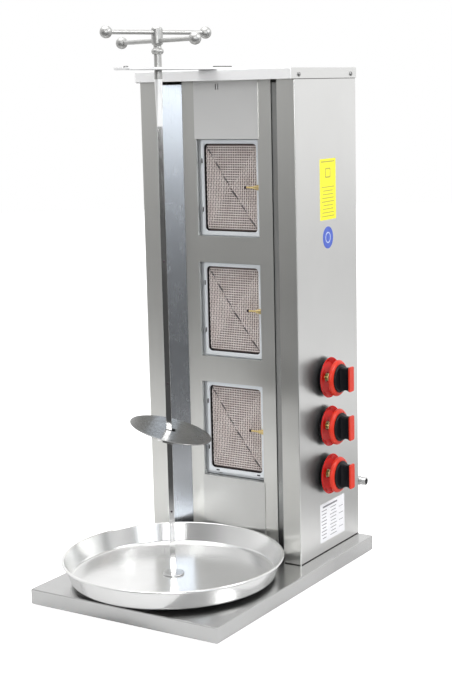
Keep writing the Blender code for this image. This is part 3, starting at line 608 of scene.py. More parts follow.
def build_casing():
    left = [(-0.15, CASE_BACK), (-CASE_HALF_W, CASE_BACK), (-CASE_HALF_W, CASE_FRONT), (-0.1356, CASE_FRONT)]
    right = [(-x, y) for x, y in reversed(left)]
    bottom, top = case_low.z, case_high.z
    for side, line in (("left", left), ("right", right)):
        mesh = bent_sheet(line, SHEET, bottom, top, 0.002)
        coat(mesh, (CASE_STEEL, SIDE_STEEL), lambda face: int(abs(face.normal.x) > 0.6))
        piece("case_" + side, mesh, CASE_STEEL, stands_for="casing_" + side, smooth=40)
    # Thin near-black strips along the casing's foot, on its sides and fronts: a painted shadow where the
    # casing meets the base.
    for end, side in (("left", -1), ("right", 1)):
        x = side * CASE_HALF_W
        shadow_lines = {"side": rectangle(x - 0.0003, x + 0.0003, CASE_FRONT + 0.002, CASE_BACK - 0.002),
                 "front": rectangle(min(side * 0.137, x - side * 0.002), max(side * 0.137, x - side * 0.002),
                                    CASE_FRONT - 0.0003, CASE_FRONT + 0.0003)}
        for where, shadow_line in shadow_lines.items():
            name = f"foot_shadow_{where}_{end}"
            piece(name, extruded(shadow_line, bottom + 0.0001, bottom + 0.0013), SCORCH_AND_SHADE)
    front = CASE_FRONT + SHEET + 0.0003
    back = PANEL_Y + SHEET + 0.0003
    line = [(-0.16, front), (-0.1353, front), (-0.101, back), (-0.08, back)]
    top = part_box("reflector_left")[1].z
    piece("wing_left", bent_sheet(line, SHEET, bottom, top, 0.0015), WING_STEEL, stands_for="reflector_left",
          smooth=40)
    line = [(-x, y) for x, y in reversed(line)]
    # The right reflector gets the darker copy of the reflector steel: painted shade.
    piece("wing_right", bent_sheet(line, SHEET, bottom, top, 0.0015), PAINTED_SHADE_STEEL,
          stands_for="reflector_right", smooth=40)


def window_limits(name):
    z = BURNER_Z[name]
    return z - WINDOW_HALF_H - (0.0045 if name == "lower" else 0.0), z + WINDOW_HALF_H


def build_panel():
    outline = rectangle(-PANEL_HALF_W, PANEL_HALF_W, panel_low.z, panel_high.z)
    holes = []
    for name in BURNERS:
        low, high = window_limits(name)
        holes.append(rectangle(-WINDOW_HALF_W, WINDOW_HALF_W, low, high, 0.0025, 4))
    slots = [rectangle(x, x + 0.002, 0.945, 0.956) for x in (-0.0225, -0.017)]
    mesh = holed_plate(outline, holes + slots, 0.009)
    piece("window_panel", mesh, CASE_STEEL, stands_for="burner_panel", at=(0.0, PANEL_Y, 0.0), sheet=SHEET,
          smooth=0)
    half_w = 0.0727
    for name, gaps, metal in (("top", slots, BLANK_STEEL), ("bottom", [], LOW_STEEL)):
        low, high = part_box(name + "_blank")
        outline = rectangle(-half_w, half_w, low.z, high.z, 0.001, 2)
        piece("blank_" + name, holed_plate(outline, gaps), metal, stands_for=name + "_blank",
              at=(0.0, PANEL_Y - SHEET - 0.0003, 0.0), sheet=SHEET, smooth=0)


def build_back():
    low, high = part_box("back_panel")
    slots = []
    for x in (-0.06, 0.06):
        for row in range(6):
            z = 0.64 + row * 0.045
            slots.append(rectangle(x - 0.03, x + 0.03, z, z + 0.006, 0.0028, 5))
    half_w = (high.x - low.x) / 2
    outline = rectangle(-half_w, half_w, low.z, high.z)
    hole = [(PIPE_X + x, INLET_Z + z) for x, z in round_row(0.008, 32)]
    mesh = holed_plate(outline, slots + [hole])
    piece("rear_panel", mesh, CASE_STEEL, stands_for="back_panel", at=(0.0, low.y - ORIGIN.y, 0.0),
          sheet=SHEET, smooth=0)
    for i, x in enumerate((-0.162, 0.162)):
        for k, z in enumerate((0.08, 0.3, 0.52, 0.74, 0.94)):
            screw(f"rear_screw_{i}_{k}", (x, CASE_BACK, z), (-pi / 2, 0.0, 0.0), 0.0036)


def screw(name, at, turn, radius):
    """A low domed screw head with a conical recess."""
    bm = bmesh.new()
    rings = ((1.0, 0.0), (1.0, 0.25), (0.86, 0.42), (0.55, 0.55), (0.22, 0.6))
    steps = 32
    rows = []
    for share, height in rings:
        rows.append([bm.verts.new((x, y, radius * height)) for x, y in round_row(radius * share, steps)])
    skin(bm, rows)
    bm.faces.new(list(reversed(rows[0])))
    top = rows[-1]
    centre = bm.verts.new((0.0, 0.0, radius * 0.18))
    for k in range(steps):
        bm.faces.new((top[k], top[(k + 1) % steps], centre))
    piece(name, to_mesh(bm), HEAD_STEEL, at=at, turn=turn, smooth=50)


def build_cap():
    low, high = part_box("cap")
    half_w, half_d = (high.x - low.x) / 2, (high.y - low.y) / 2
    middle_y = (low.y + high.y) / 2 - ORIGIN.y
    mesh = pan_mesh(half_w, half_d, SHEET, low.z, high.z, 0.0018, 0.0018)
    # The lid's front faces get the near-white copy, a painted highlight, and its top the darker copy,
    # painted shade.
    coat(mesh, (SIDE_STEEL, PAINTED_LIGHT_STEEL, PAINTED_SHADE_TOP_STEEL),
         lambda face: 1 if face.normal.y < -0.4 else 2 if face.normal.z > 0.9 else 0)
    piece("lid", mesh, SIDE_STEEL, stands_for="cap", at=(0.0, middle_y, 0.0), smooth=30)
    for end, side in (("left", -1), ("right", 1)):
        for k, y in enumerate((0.3704, 0.5758)):
            screw(f"lid_screw_{end}_{k}", (side * half_w, y, 0.9695), (0.0, side * pi / 2, 0.0), 0.0042)
        # A thin near-black strip under each side of the lid: a painted shadow beneath its edge.
        x = side * (CASE_HALF_W + 0.0003)
        shadow_line = rectangle(x - 0.0002, x + 0.0002, middle_y - half_d + 0.004, middle_y + half_d - 0.004)
        piece("lid_shadow_" + end, extruded(shadow_line, low.z - 0.0012, low.z - 0.0001), SCORCH_AND_SHADE)


def build_arm():
    low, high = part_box("top_arm")
    x0, x1 = low.x - ORIGIN.x, high.x - ORIGIN.x
    y0, y1 = low.y - ORIGIN.y, high.y - ORIGIN.y
    notch = 0.00765
    corner = 0.006
    outline = arc(x1 - corner, y0 + corner, corner, -90, 0, 6)
    outline += arc(x1 - corner, y1 - corner, corner, 0, 90, 6)
    outline += arc(x0 + corner, y1 - corner, corner, 90, 180, 6)
    outline += [(x0, SPIT.y + notch)] + arc(SPIT.x, SPIT.y, notch, 90, -90, 12) + [(x0, SPIT.y - notch)]
    outline += arc(x0 + corner, y0 + corner, corner, 180, 270, 6)
    mesh = extruded(outline, low.z, high.z)
    # The arm's edges get the near-white copy, a painted highlight, and its top and bottom the darker copy,
    # painted shade.
    coat(mesh, (PAINTED_LIGHT_STEEL, PAINTED_SHADE_TOP_STEEL), lambda face: int(abs(face.normal.z) > 0.9))
    piece("flat_arm", mesh, PAINTED_LIGHT_STEEL, stands_for="top_arm", edge=0.0006)
    # A black oblong on the arm's top, with no hole cut: painted shade standing for a slot.
    slot = extruded(rectangle(-0.0045, 0.0045, -0.03, 0.03, 0.0044, 8), 0.0, 0.002)
    piece("arm_slot_shade", slot, RUBBER, at=(SPIT.x, 0.395, high.z + 0.0001))
    screw("arm_screw", (SPIT.x, 0.083, high.z), (0.0, 0.0, 0.0), 0.0045)


def wire_cloth(half_w, half_h, rise):
    """Woven wires over a flat pyramid that is highest in its middle, with its folds pressed in.

    The folds part the cloth in four: wires stand proud along their own two quarters. Wires near one of the
    two folds are painted dark, a painted shade in that crease.
    """
    bm = bmesh.new()
    pitch_x, pitch_z = 0.004, 0.0047
    columns, rows = int(half_w / pitch_x), int(half_h / pitch_z)

    def fold(x, z):
        """Zero on either diagonal fold, and the sign tells the quarter."""
        return abs(z) / half_h - abs(x) / half_w

    def lift(x, z):
        """How far the cloth stands forward of its rim."""
        share = max(abs(x) / half_w, abs(z) / half_h)
        deep = 0.0024 if x * z < 0.0 else 0.0012
        return rise * (1.0 - share) - deep * max(0.0, 1.0 - abs(fold(x, z)) / 0.045)

    def wire(stops, along_x, row, start):
        rings = []
        for i, stop in enumerate(stops):
            x, z = (stop, row) if along_x else (row, stop)
            proud = (fold(x, z) > 0.0) == along_x
            radius = 0.00095 if proud else 0.00055
            crimp = (0.0007 if proud else 0.0002) * (1 if (i + start) % 2 else -1)
            y = -lift(x, z) + crimp
            ring = []
            for side, depth in round_row(radius, 5, 0.3):
                place = (x, y + depth, z + side) if along_x else (x + side, y + depth, z)
                ring.append(bm.verts.new(place))
            rings.append(ring)
        skin(bm, rings)
        close_ends(bm, rings)

    for i in range(-columns, columns + 1):
        wire([k * pitch_z for k in range(-rows, rows + 1)], False, i * pitch_x, i % 2)
    for i in range(-rows, rows + 1):
        wire([k * pitch_x for k in range(-columns, columns + 1)], True, i * pitch_z, (i + 1) % 2)
    mesh = to_mesh(bm, 1e-7)

    # Painted shade: faces near one diagonal fold get the dark steel.
    def in_painted_fold_shade(face):
        x, z = face.center.x, face.center.z
        return int(x * z < 0.0 and abs(fold(x, z)) < 0.019)

    coat(mesh, (WIRE, PAINTED_SHADE_STEEL), in_painted_fold_shade)
    return mesh


def facing_front(sections):
    """Sections given at their Y, as heights for a piece that is turned to face the front."""
    return [(half_w, half_h, radius, -y) for half_w, half_h, radius, y in sections]


def build_burner(name):
    z = BURNER_Z[name]
    at = (0.0, 0.0, z)
    front = 0.4034
    flange = front + 0.0046
    half_w, half_h, win_w, win_h = 0.0664, 0.093, 0.0602, 0.0852
    window = ((0.0016, 0.0066, 0.005), (0.0, 0.008, 0.003), (0.0, 0.008, 0.0008), (0.0003, 0.008, 0.0002),
              (0.001, 0.0085, 0.0))
    profile = [(win_w + grow, win_h + grow, corner, front + depth) for grow, corner, depth in window]
    outside = ((0.001, 0.0035, 0.0), (0.0003, 0.003, 0.0003), (0.0, 0.003, 0.001), (0.0, 0.003, 0.0056),
               (0.0008, 0.0025, 0.0056), (0.0008, 0.0025, 0.005))
    profile += [(half_w - inset, half_h - inset, corner, front + depth) for inset, corner, depth in outside]
    piece("burner_rim_" + name, lofted(facing_front(profile), 8, ring=True), FRAME_ZINC,
          stands_for="burner_body_" + name, at=at, turn=FACING_FRONT, smooth=30)
    marks = [(-0.0638, 0.052, 0.0013, 0.0046), (-0.0638, -0.043, 0.0013, 0.0046)]
    if name == "lower":
        marks += [(-0.044, -0.0893, 0.0036, 0.0013), (0.052, -0.0893, 0.0036, 0.0013)]
    # Black inlays on the frame, with no hole cut: painted shade standing for the frame's slots.
    for k, (x, dz, wide, tall) in enumerate(marks):
        slot_shade = extruded(rectangle(-wide, wide, -tall, tall, 0.0007, 4), 0.0, 0.0002)
        piece(f"frame_slot_shade_{name}_{k}", slot_shade, BLACK, at=(x, front + 0.0001, z + dz),
              turn=FACING_FRONT)
    outline = rectangle(-0.078, 0.078, -0.099, 0.099, 0.003, 3)
    holes = [rectangle(-half_w + 0.0004, half_w - 0.0004, -half_h + 0.0004, half_h - 0.0004, 0.003, 3)]
    for dz in (-0.048, 0.048):
        for side in (-1, 1):
            holes.append(rectangle(side * 0.069 - 0.0014, side * 0.069 + 0.0014, dz - 0.005, dz + 0.005,
                                   0.0013, 3))
    for x in (-0.04, 0.056):
        holes.append(rectangle(x - 0.004, x + 0.004, -0.0968, -0.095, 0.0008, 2))
    piece("burner_flange_" + name, holed_plate(outline, holes), FRAME_ZINC, at=(0.0, flange, z), sheet=0.001,
          smooth=0)
    box = [(0.054, 0.08, 0.004, 0.4505), (0.054, 0.08, 0.004, 0.429), (0.0652, 0.0917, 0.003, 0.429),
           (0.0652, 0.0917, 0.003, flange + 0.0014), (0.0664, 0.093, 0.003, flange + 0.0014),
           (0.0664, 0.093, 0.003, 0.4302), (0.056, 0.082, 0.005, 0.4302), (0.056, 0.082, 0.005, 0.452)]
    piece("burner_box_" + name, lofted(facing_front(box), 5), FRAME_ZINC, at=at, turn=FACING_FRONT,
          smooth=30)
    tube = [(0.0, -0.05), (0.01, -0.05), (0.011, -0.049), (0.011, 0.083), (0.0106, 0.084), (0.0096, 0.084),
            (0.0092, 0.083), (0.0092, -0.047), (0.0, -0.047)]
    piece("mixing_tube_" + name, turned(tube, 40), FRAME_ZINC, at=(0.0, 0.4622, z - 0.05), turn=ALONG_X)
    piece("woven_mesh_" + name, wire_cloth(0.0592, 0.0842, 0.0046), WIRE, stands_for="burner_mesh_" + name,
          at=(0.0, 0.4096, z), smooth=0)
    seat = [(0.064, 0.09, 0.003, 0.4126), (0.064, 0.09, 0.003, 0.4116), (0.0585, 0.0835, 0.006, 0.4116),
            (0.0585, 0.0835, 0.006, 0.4126)]
    # The seat ring round the wire cloth is near-black: heat-darkened, and also painted shade at the cloth's
    # border.
    piece("cloth_seat_" + name, lofted(facing_front(seat), 6, ring=True), SCORCH_AND_SHADE, at=at,
          turn=FACING_FRONT, smooth=30)
    slab = [(0.0639, 0.0904, 0.003, 0.414), (0.0645, 0.091, 0.003, 0.4146), (0.0645, 0.091, 0.003, 0.4264),
            (0.0639, 0.0904, 0.003, 0.427)]
    piece("port_plates_" + name, lofted(facing_front(slab), 4), CERAMIC, stands_for="ceramic_plates_" + name,
          at=at, turn=FACING_FRONT, smooth=30)


def build_thermocouple(name):
    at = (WINDOW_HALF_W - 0.0003, PANEL_Y + 0.0048, BURNER_Z[name] + 0.002)
    turn = (0.0, -pi / 2, 0.0)
    piece("probe_nut_" + name, extruded(round_row(0.0052, 6), 0.0, 0.0078), BRASS,
          stands_for="thermocouple_" + name, at=at, turn=turn, edge=0.0005)
    gland = [(0.0, 0.0079), (0.0038, 0.0079), (0.0038, 0.012), (0.003, 0.0128), (0.0022, 0.013),
             (0.0022, 0.0142), (0.0, 0.0142)]
    rod = [(0.0, 0.0143), (0.0019, 0.0143), (0.0019, 0.0295), (0.0, 0.0295)]
    tip = [(0.0, 0.0296), (0.0024, 0.0296), (0.0028, 0.03), (0.0028, 0.0328), (0.0022, 0.034),
           (0.001, 0.0345), (0.0, 0.0345)]
    for part, profile, steps, metal in (("gland", gland, 32, BRASS), ("rod", rod, 24, BRASS),
                                        ("tip", tip, 24, PROBE_TIP)):
        piece(f"probe_{part}_{name}", turned(profile, steps), metal, at=at, turn=turn)


def build_knob(name):
    at = (CASE_HALF_W, KNOB_Y, KNOB_Z[name])
    bezel = [(0.009, 0.0003), (0.03, 0.0003), (0.0316, 0.0008), (0.0386, 0.007), (0.0397, 0.0084),
             (0.04, 0.0094), (0.0397, 0.0101), (0.0389, 0.0102), (0.038, 0.0096), (0.031, 0.0038),
             (0.0296, 0.003), (0.018, 0.0024), (0.0098, 0.0026), (0.009, 0.0022)]
    mesh = turned(bezel, 96, closed=True)
    # The bezel's faces that look back towards the panel are painted black: painted shade where the red bezel
    # is unlit.
    coat(mesh, (DEEP_RED, BLACK), lambda face: int(face.normal.z < -0.05))
    piece("red_bezel_" + name, mesh, DEEP_RED, stands_for="knob_bezel_" + name, at=at, turn=ALONG_X,
          smooth=50)
    body = "knob_" + name
    skirt = [(0.0125, 0.0262), (0.031, 0.0262), (0.0318, 0.024), (0.0346, 0.024), (0.0353, 0.0244),
             (0.0355, 0.0252), (0.0355, 0.0268), (0.0349, 0.0282), (0.033, 0.0302), (0.0305, 0.0314),
             (0.0285, 0.0316), (0.0125, 0.0316)]
    piece("red_skirt_" + name, turned(skirt, 96, closed=True), RED, body, "knob_skirt_" + name, at=at,
          turn=ALONG_X, smooth=50)
    foot = [(0.0, -0.0088), (0.0025, -0.0088), (0.0029, -0.0084), (0.0029, 0.0225), (0.0118, 0.0225),
            (0.0118, 0.0319), (0.0278, 0.0319), (0.028, 0.0322), (0.0279, 0.0336), (0.027, 0.0352),
            (0.025, 0.036), (0.0, 0.0362)]
    piece("grip_foot_" + name, turned(foot, 72), BLACK, body, "knob_grip_" + name, at=at, turn=ALONG_X,
          smooth=50)
    bar = []
    for share in range(11):
        t = share / 10
        waist = 4 * t * (1 - t)
        bar.append((0.0264 - 0.002 * t - 0.0032 * waist, 0.0094 - 0.0004 * t - 0.0022 * waist, 0.0035,
                    0.035 + 0.0188 * t))
    bar.insert(0, (0.0272, 0.011, 0.0035, 0.0346))
    piece("grip_bar_" + name, lofted(bar, 5), BLACK, body, at=at, turn=ALONG_X, smooth=40)
    end = [(0.0244, 0.009, 0.0035, 0.0539), (0.0246, 0.0092, 0.0035, 0.0546),
           (0.0246, 0.0092, 0.0035, 0.0562), (0.024, 0.0086, 0.0033, 0.057)]
    piece("grip_end_" + name, lofted(end, 6), RED, body, at=at, turn=ALONG_X, smooth=40)
    inside = CASE_HALF_W - SHEET - 0.0003
    valve = [(0.0, 0.128), (0.012, 0.128), (0.013, 0.129), (0.013, inside - 0.002), (0.0115, inside),
             (0.0072, inside)]
    for ridge in range(5):
        z = inside + 0.0022 + ridge * 0.0014
        valve += [(0.0072, z), (0.0068, z + 0.0004), (0.0072, z + 0.0008)]
    valve += [(0.0068, CASE_HALF_W + 0.008), (0.0052, CASE_HALF_W + 0.008), (0.0052, 0.14), (0.0, 0.14)]
    piece("valve_body_" + name, turned(valve, 48), BRASS, stands_for="gas_valve_" + name,
          at=(0.0, KNOB_Y, KNOB_Z[name]), turn=ALONG_X)
    end_x = CASE_HALF_W + 0.0145
    plug = [(0.0, 0.1405), (0.0048, 0.1405), (0.0048, end_x - 0.0006), (0.0042, end_x), (0.0034, end_x),
            (0.0032, end_x - 0.0004), (0.0032, 0.16), (0.0, 0.16)]
    piece("turning_plug_" + name, turned(plug, 40), SCREW_STEEL, "plug_" + name, "valve_plug_" + name,
          at=(0.0, KNOB_Y, KNOB_Z[name]), turn=ALONG_X)


def build_gas_train():
    low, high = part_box("gas_manifold")
    place = middle("gas_manifold")
    radius = (high.x - low.x) / 2
    profile = [(0.0, low.z), (radius - 0.001, low.z), (radius, low.z + 0.001), (radius, high.z - 0.001),
               (radius - 0.001, high.z), (0.0, high.z)]
    piece("valve_manifold", turned(profile, 48), TURNED_STEEL, stands_for="gas_manifold",
          at=(place.x, place.y, 0.0))
    start = high.y - ORIGIN.y + 0.0003
    radius = 0.012
    bend = [Vector((PIPE_X, start, INLET_Z)), Vector((PIPE_X, 0.6, INLET_Z))]
    for step in range(1, 10):
        a = radians(10 * step)
        bend.append(Vector((PIPE_X + radius - radius * cos(a), INLET_Y - radius + radius * sin(a), INLET_Z)))
    bend.append(Vector((0.161, INLET_Y, INLET_Z)))
    at = (0.16, INLET_Y, INLET_Z)
    piece("inlet_pipe", swept(bend, 0.006, 32), TURNED_STEEL, stands_for="gas_inlet")
    piece("inlet_hexagon", extruded(round_row(0.01, 6), 0.0, 0.0078), TURNED_STEEL, at=at, turn=ALONG_X,
          edge=0.0005)
    thread = [(0.0055, 0.008), (0.0076, 0.008)]
    for turn_index in range(7):
        x = 0.009 + turn_index * 0.0016
        thread += [(0.0078, x), (0.0083, x + 0.0005), (0.0083, x + 0.0008), (0.0078, x + 0.0013)]
    thread += [(0.0083, 0.0208), (0.0083, 0.0214), (0.0076, 0.022), (0.0055, 0.022)]
    piece("inlet_thread", turned(thread, 64, closed=True), TURNED_STEEL, at=at, turn=ALONG_X)
    for name in BURNERS:
        recoat("supply_tube_" + name, BRASS)


def build_spit():
    half, corner, shaft = 0.00525, 0.0009, 0.00725
    foot, head = 0.882, 0.9638
    sections = [(0.004, 0.004, 0.024), (0.005, 0.005, 0.025), (0.005, 0.005, 0.044), (0.005, 0.003, 0.0441),
                (half, corner, 0.0446), (half, corner, foot - 0.0032),
                (half - 0.0009, corner, foot - 0.0024), (half - 0.0009, corner, foot),
                (half, 0.0012, foot + 0.0008)]
    for step in range(1, 9):
        t = step / 8
        sections.append((half + (shaft - half) * t, 0.0012 + (shaft - 0.0012) * t,
                         foot + 0.0008 + (head - foot) * t))
    sections += [(shaft, shaft, head + 0.002), (shaft, shaft, 0.9795), (0.0068, 0.0068, 0.9806),
                 (0.0068, 0.0068, 1.0187)]
    mesh = lofted(squares(sections), 8)
    # The spit's taper gets the near-white steel: a painted highlight on that stretch of the bar.
    coat(mesh, (SPIT_STEEL, PAINTED_LIGHT_TAPER_STEEL, HANDLE_STEEL),
         lambda face: 0 if face.center.z < foot else 1 if face.center.z < 0.97 else 2)
    piece("spit_bar", mesh, SPIT_STEEL, "spit", "spit", at=SPIT, turn=(0.0, 0.0, SPIT_YAW), smooth=15)
    for k, z in enumerate((0.164, 0.41, 0.638)):
        pin = [(0.0, -0.00565), (0.0016, -0.00565), (0.002, -0.0053), (0.002, 0.0053), (0.0016, 0.00565),
               (0.0, 0.00565)]
        piece(f"cross_pin_{k}", turned(pin, 24), PROBE_TIP, "spit",
              at=(SPIT.x, SPIT.y, z), turn=(pi / 2, 0.0, SPIT_YAW))
    ring = [(0.0053, 0.0405), (0.02, 0.0405), (0.0205, 0.0409), (0.0205, 0.0424), (0.02, 0.043),
            (0.011, 0.0437), (0.0053, 0.0438)]
    piece("foot_flange", turned(ring, 96, closed=True), SCREW_STEEL, "spit_lift", "spit_foot", at=SPIT)
    recoat("pivot_socket", TURNED_STEEL)


def disc_matrix():
    tilt = Euler((*DISC_TILT, 0.0)).to_matrix().to_4x4()
    place = Vector((SPIT.x, SPIT.y, DISC_Z))
    return Matrix.Translation(place) @ Matrix.Rotation(SPIT_YAW, 4, "Z") @ tilt


def build_disc():
    inner, outer, half_t, up = 0.009, 0.0105, 0.0008, 0.012
    radius = 0.078

    def web(shares, height):
        """Sections of one face of the disc, between its sleeve and its rim."""
        sizes = [(share, outer + (radius - outer) * share) for share in shares]
        return [(size, size * (0.4 + 0.6 * share), height) for share, size in sizes]

    sections = [(inner, 0.001, -up), (inner, 0.001, up + half_t)] + web((0.25, 0.5, 0.75), up + half_t)
    sections += [(radius - 0.0005, radius, up + half_t), (radius, radius, up + 0.0003),
                 (radius, radius, up - 0.0003), (radius - 0.0005, radius, up - half_t)]
    sections += web((0.75, 0.5, 0.25), up - half_t)
    sections += [(outer + 0.0018, 0.003, up - half_t), (outer + 0.0006, 0.002, up - half_t - 0.0007),
                 (outer, 0.0016, up - half_t - 0.002), (outer, 0.0016, -up + 0.0003),
                 (outer - 0.0003, 0.0014, -up)]
    piece("round_disc", lofted(squares(sections), 24, ring=True), DISC_STEEL, "disc", "meat_disc",
          matrix=disc_matrix(), smooth=30)
    knurl = 40
    bm = bmesh.new()
    profile = [(0.0, 0.0042), (0.0014, 0.0042), (0.0029, 0.006), (0.0029, 0.0125), (0.0046, 0.0126),
               (0.0052, 0.0133), (0.0052, 0.0192), (0.0046, 0.02), (0.0, 0.02)]
    rows = []
    for r, z in profile:
        row = []
        for k in range(knurl):
            dent = 0.0003 if r > 0.005 and k % 2 else 0.0
            a = 2 * pi * k / knurl
            row.append(bm.verts.new(((r - dent) * cos(a), (r - dent) * sin(a), z)))
        rows.append(row)
    skin(bm, rows)
    bmesh.ops.remove_doubles(bm, verts=bm.verts, dist=1e-6)
    bmesh.ops.dissolve_degenerate(bm, dist=1e-7, edges=bm.edges)
    matrix = disc_matrix() @ Matrix.Translation((0.0, 0.0, -0.008)) @ Matrix.Rotation(-pi / 2, 4, "Y")
    piece("clamp_screw", to_mesh(bm), SCREW_STEEL, "disc_screw", "disc_screw", matrix=matrix, smooth=40)


def build_handle():
    profile = [(0.0, 1.019), (0.0071, 1.019), (0.0071, 1.01), (0.0086, 1.01), (0.0098, 1.0108)]
    profile += arc(0.0062, 1.015, 0.005, -48, 48, 10)
    profile += [(0.0083, 1.0196), (0.0074, 1.0208), (0.007, 1.0225), (0.007, 1.0248), (0.0076, 1.0262),
                (0.0094, 1.0272), (0.0101, 1.028), (0.0103, 1.0292), (0.0103, 1.0528)]
    profile += arc(0.0055, 1.0528, 0.0048, 0, 90, 8)
    profile += [(0.0, 1.0576)]
    piece("turned_hub", turned(profile, 72), HANDLE_STEEL, "spit", "handle_hub", at=SPIT, smooth=40)
    for place in ("upper", "lower"):
        first, second = (middle(f"handle_ball_{place}_{end}") for end in "ab")
        along = second - first
        yaw = atan2(along.y, along.x)
        half = along.length / 2 - 0.0055
        rod = [(0.0, -half), (0.004, -half), (0.004, half), (0.0, half)]
        piece(f"cross_rod_{place}", turned(rod, 40), HANDLE_STEEL, "spit", f"handle_rod_{place}",
              at=(first + second) / 2, turn=(0.0, pi / 2, yaw))
        ball = [(0.0, -0.0052), (0.0043, -0.0052), (0.0043, -0.0101)]
        ball += arc(0.0, 0.0, 0.011, -65.5, 90, 28)[1:-1] + [(0.0, 0.011)]
        for end, side, centre in (("a", -1, first), ("b", 1, second)):
            piece(f"knob_ball_{place}_{end}", turned(ball, 56), HANDLE_STEEL, "spit",
                  f"handle_ball_{place}_{end}", at=centre, turn=(0.0, side * pi / 2, yaw), smooth=50)


def sticker(name, y, z, half_d, half_h, radius, material, layer=0):
    """A thin plate on the right side panel, or a mark in a layer on top of one."""
    lift, thickness = ((0.0, 0.00012), (0.00013, 0.00004), (0.00018, 0.00004))[layer]
    sections = [(half_h, half_d, radius, 0.0), (half_h, half_d, radius, thickness)]
    piece(name, lofted(sections, 6), material, at=(CASE_HALF_W + 0.00002 + lift, y, z), turn=ALONG_X,
          smooth=30)


def build_labels():
    sticker("yellow_plate", 0.48, 0.7515, 0.032, 0.0585, 0.0015, YELLOW_LABEL)
    sticker("yellow_bar_top", 0.48, 0.8045, 0.027, 0.0011, 0.0003, OLIVE_INK, 1)
    for k in range(9):
        width = 0.025 - 0.002 * ((k * 7) % 4)
        sticker(f"yellow_bar_{k}", 0.48, 0.756 - 0.007 * k, width, 0.0008, 0.0003, OLIVE_INK, 1)
    sticker("yellow_block", 0.48, 0.783, 0.0105, 0.0095, 0.003, OLIVE_INK, 1)
    sticker("yellow_window", 0.48, 0.783, 0.008, 0.007, 0.002, YELLOW_LABEL, 2)
    sticker("blue_plate", 0.4785, 0.6585, 0.0205, 0.0215, 0.0205, BLUE_LABEL)
    sticker("blue_inner", 0.4785, 0.6585, 0.0105, 0.011, 0.0105, PALE_INK, 1)
    sticker("blue_centre", 0.4785, 0.6585, 0.008, 0.0085, 0.008, BLUE_LABEL, 2)
    sticker("white_plate", 0.4845, 0.0935, 0.0505, 0.0395, 0.001, WHITE_LABEL)
    sticker("white_bar_top", 0.4745, 0.1255, 0.03, 0.0018, 0.0003, LABEL_INK, 1)
    for k in range(9):
        z = 0.118 - 0.007 * k
        sticker(f"white_bar_a{k}", 0.45, z, 0.011 - 0.0015 * (k % 3), 0.0008, 0.0003, LABEL_INK, 1)
        sticker(f"white_bar_b{k}", 0.488, z, 0.014 - 0.002 * ((k + 1) % 3), 0.0007, 0.0003, LABEL_INK, 1)
        if k % 2:
            sticker(f"white_bar_c{k}", 0.52, z, 0.0085, 0.0006, 0.0003, LABEL_INK, 1)


# ---------------------------------------------------------------- studio
VIEW = Vector((-0.53035, 0.83007, -0.17234))


def area_light(name, at, target, size, power, colour=grey(1.0)):
    data = bpy.data.lights.new(name, "AREA")
    data.shape = "RECTANGLE"
    data.size, data.size_y = size
    data.energy = power
    data.color = colour
    lamp = add_object(name, data)
    lamp.location = at
    lamp.rotation_euler = (Vector(target) - Vector(at)).to_track_quat("-Z", "Y").to_euler()
    lamp.visible_camera = False


def build_floor():
    """A pale floor. It is seen brighter than it lights the metal, as a cut-out studio shot has it."""
    pale = grey(0.75)
    mat, tree, shader = new_material("studio_floor", pale, 0.0, 0.75, Specular_IOR_Level=0.0,
                                     Emission_Color=(1.0, 1.0, 1.0, 1.0))
    rays = node(tree, "ShaderNodeLightPath")
    link(summed(rays.outputs["Is Camera Ray"], 0.97, "MULTIPLY"), shader.inputs["Emission Strength"])
    # The floor's colour is grey beside the machine and near-black ahead of the camera: painted shade
    # standing in for light falling off, seen in what the floor lights and shows in the metal.
    ahead = dotted(object_place(tree), Vector((-VIEW.x, -VIEW.y, 0.0)).normalized())
    aside = dotted(object_place(tree), (0.53, 0.85, 0.0))
    far_side = ranged(aside, 0.0, 1.0, 0.9, 1.9)
    near_side = ranged(aside, 1.0, 0.0, 0.45, 0.65)
    beside = blended(summed(far_side, near_side, "MAXIMUM"), grey(0.36), pale)
    link(blended(ranged(ahead, 0.0, 1.0, 0.42, 0.8), beside, grey(0.05)), shader.inputs["Base Color"])
    link(ranged(noise(tree, 90.0, 3.0), 0.7, 0.8), shader.inputs["Roughness"])
    bm = bmesh.new()
    bmesh.ops.create_circle(bm, cap_ends=True, segments=96, radius=9.0)
    floor = add_object("studio_floor", to_mesh(bm))
    floor.data.materials.append(mat)


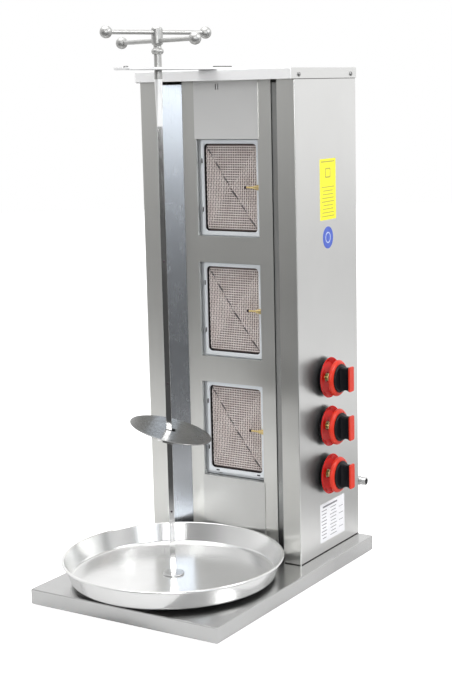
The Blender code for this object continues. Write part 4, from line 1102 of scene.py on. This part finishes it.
def build_world():
    """White behind the machine, dimmer towards its front, so that the steel has something to show."""
    world = bpy.data.worlds.new("studio")
    bpy.context.scene.world = world
    world.use_nodes = True
    tree = world.node_tree
    direction = node(tree, "ShaderNodeTexCoord").outputs["Generated"]
    along = dotted(direction, Vector((VIEW.x, VIEW.y, 0.0)).normalized())
    ramp = node(tree, "ShaderNodeValToRGB")
    link(ranged(along, 0.0, 1.0, -1.0, 1.0), ramp.inputs["Fac"])
    stops = ((0.0, 0.06), (0.075, 0.18), (0.295, 0.64), (0.5, 0.74), (0.7, 1.08), (1.0, 1.1))
    while len(ramp.color_ramp.elements) < len(stops):
        ramp.color_ramp.elements.new(0.5)
    for element, (place, value) in zip(ramp.color_ramp.elements, stops):
        element.position = place
        element.color = (value, value, value, 1.0)
    rays = node(tree, "ShaderNodeLightPath")
    colour = blended(rays.outputs["Is Camera Ray"], ramp.outputs["Color"], grey(1.0))
    link(colour, tree.nodes["Background"].inputs["Color"])


def build_studio():
    build_floor()
    build_world()
    area_light("overhead", (-0.2, -0.4, 2.6), (0.0, 0.0, 0.3), (1.8, 1.8), 36.0)
    area_light("right_softbox", (2.9, -1.5, 1.35), (0.0, 0.0, 0.9), (1.0, 1.1), 13.0, (0.9, 0.95, 1.0))
    area_light("side_fill", (2.6, 0.5, 2.3), (0.2, 0.2, 0.5), (1.2, 1.2), 40.0)
    area_light("front_softbox", (3.9, -6.1, 2.05), (0.0, 0.0, 0.9), (2.6, 2.2), 170.0)


def build_camera():
    data = bpy.data.cameras.new("camera")
    camera = add_object("camera", data)
    data.sensor_fit = "HORIZONTAL"
    data.sensor_width = 36.0
    data.lens = 115.24
    data.clip_end = 60.0
    right = Vector((0.84462, 0.53486, -0.02308))
    up = right.cross(VIEW).normalized()
    rotation = Matrix((right, up, -VIEW)).transposed().to_4x4()
    place = ORIGIN + Vector((1.50618, -1.98199, 0.94416 + FLOOR_GAP))
    camera.matrix_world = Matrix.Translation(place) @ rotation
    bpy.context.scene.camera = camera


bpy.context.scene.view_settings.view_transform = "Standard"
build_base()
build_tray()
build_casing()
build_panel()
build_back()
build_cap()
build_arm()
for burner in BURNERS:
    build_burner(burner)
    build_thermocouple(burner)
    build_knob(burner)
build_gas_train()
build_spit()
build_disc()
build_handle()
build_labels()
build_studio()
build_camera()
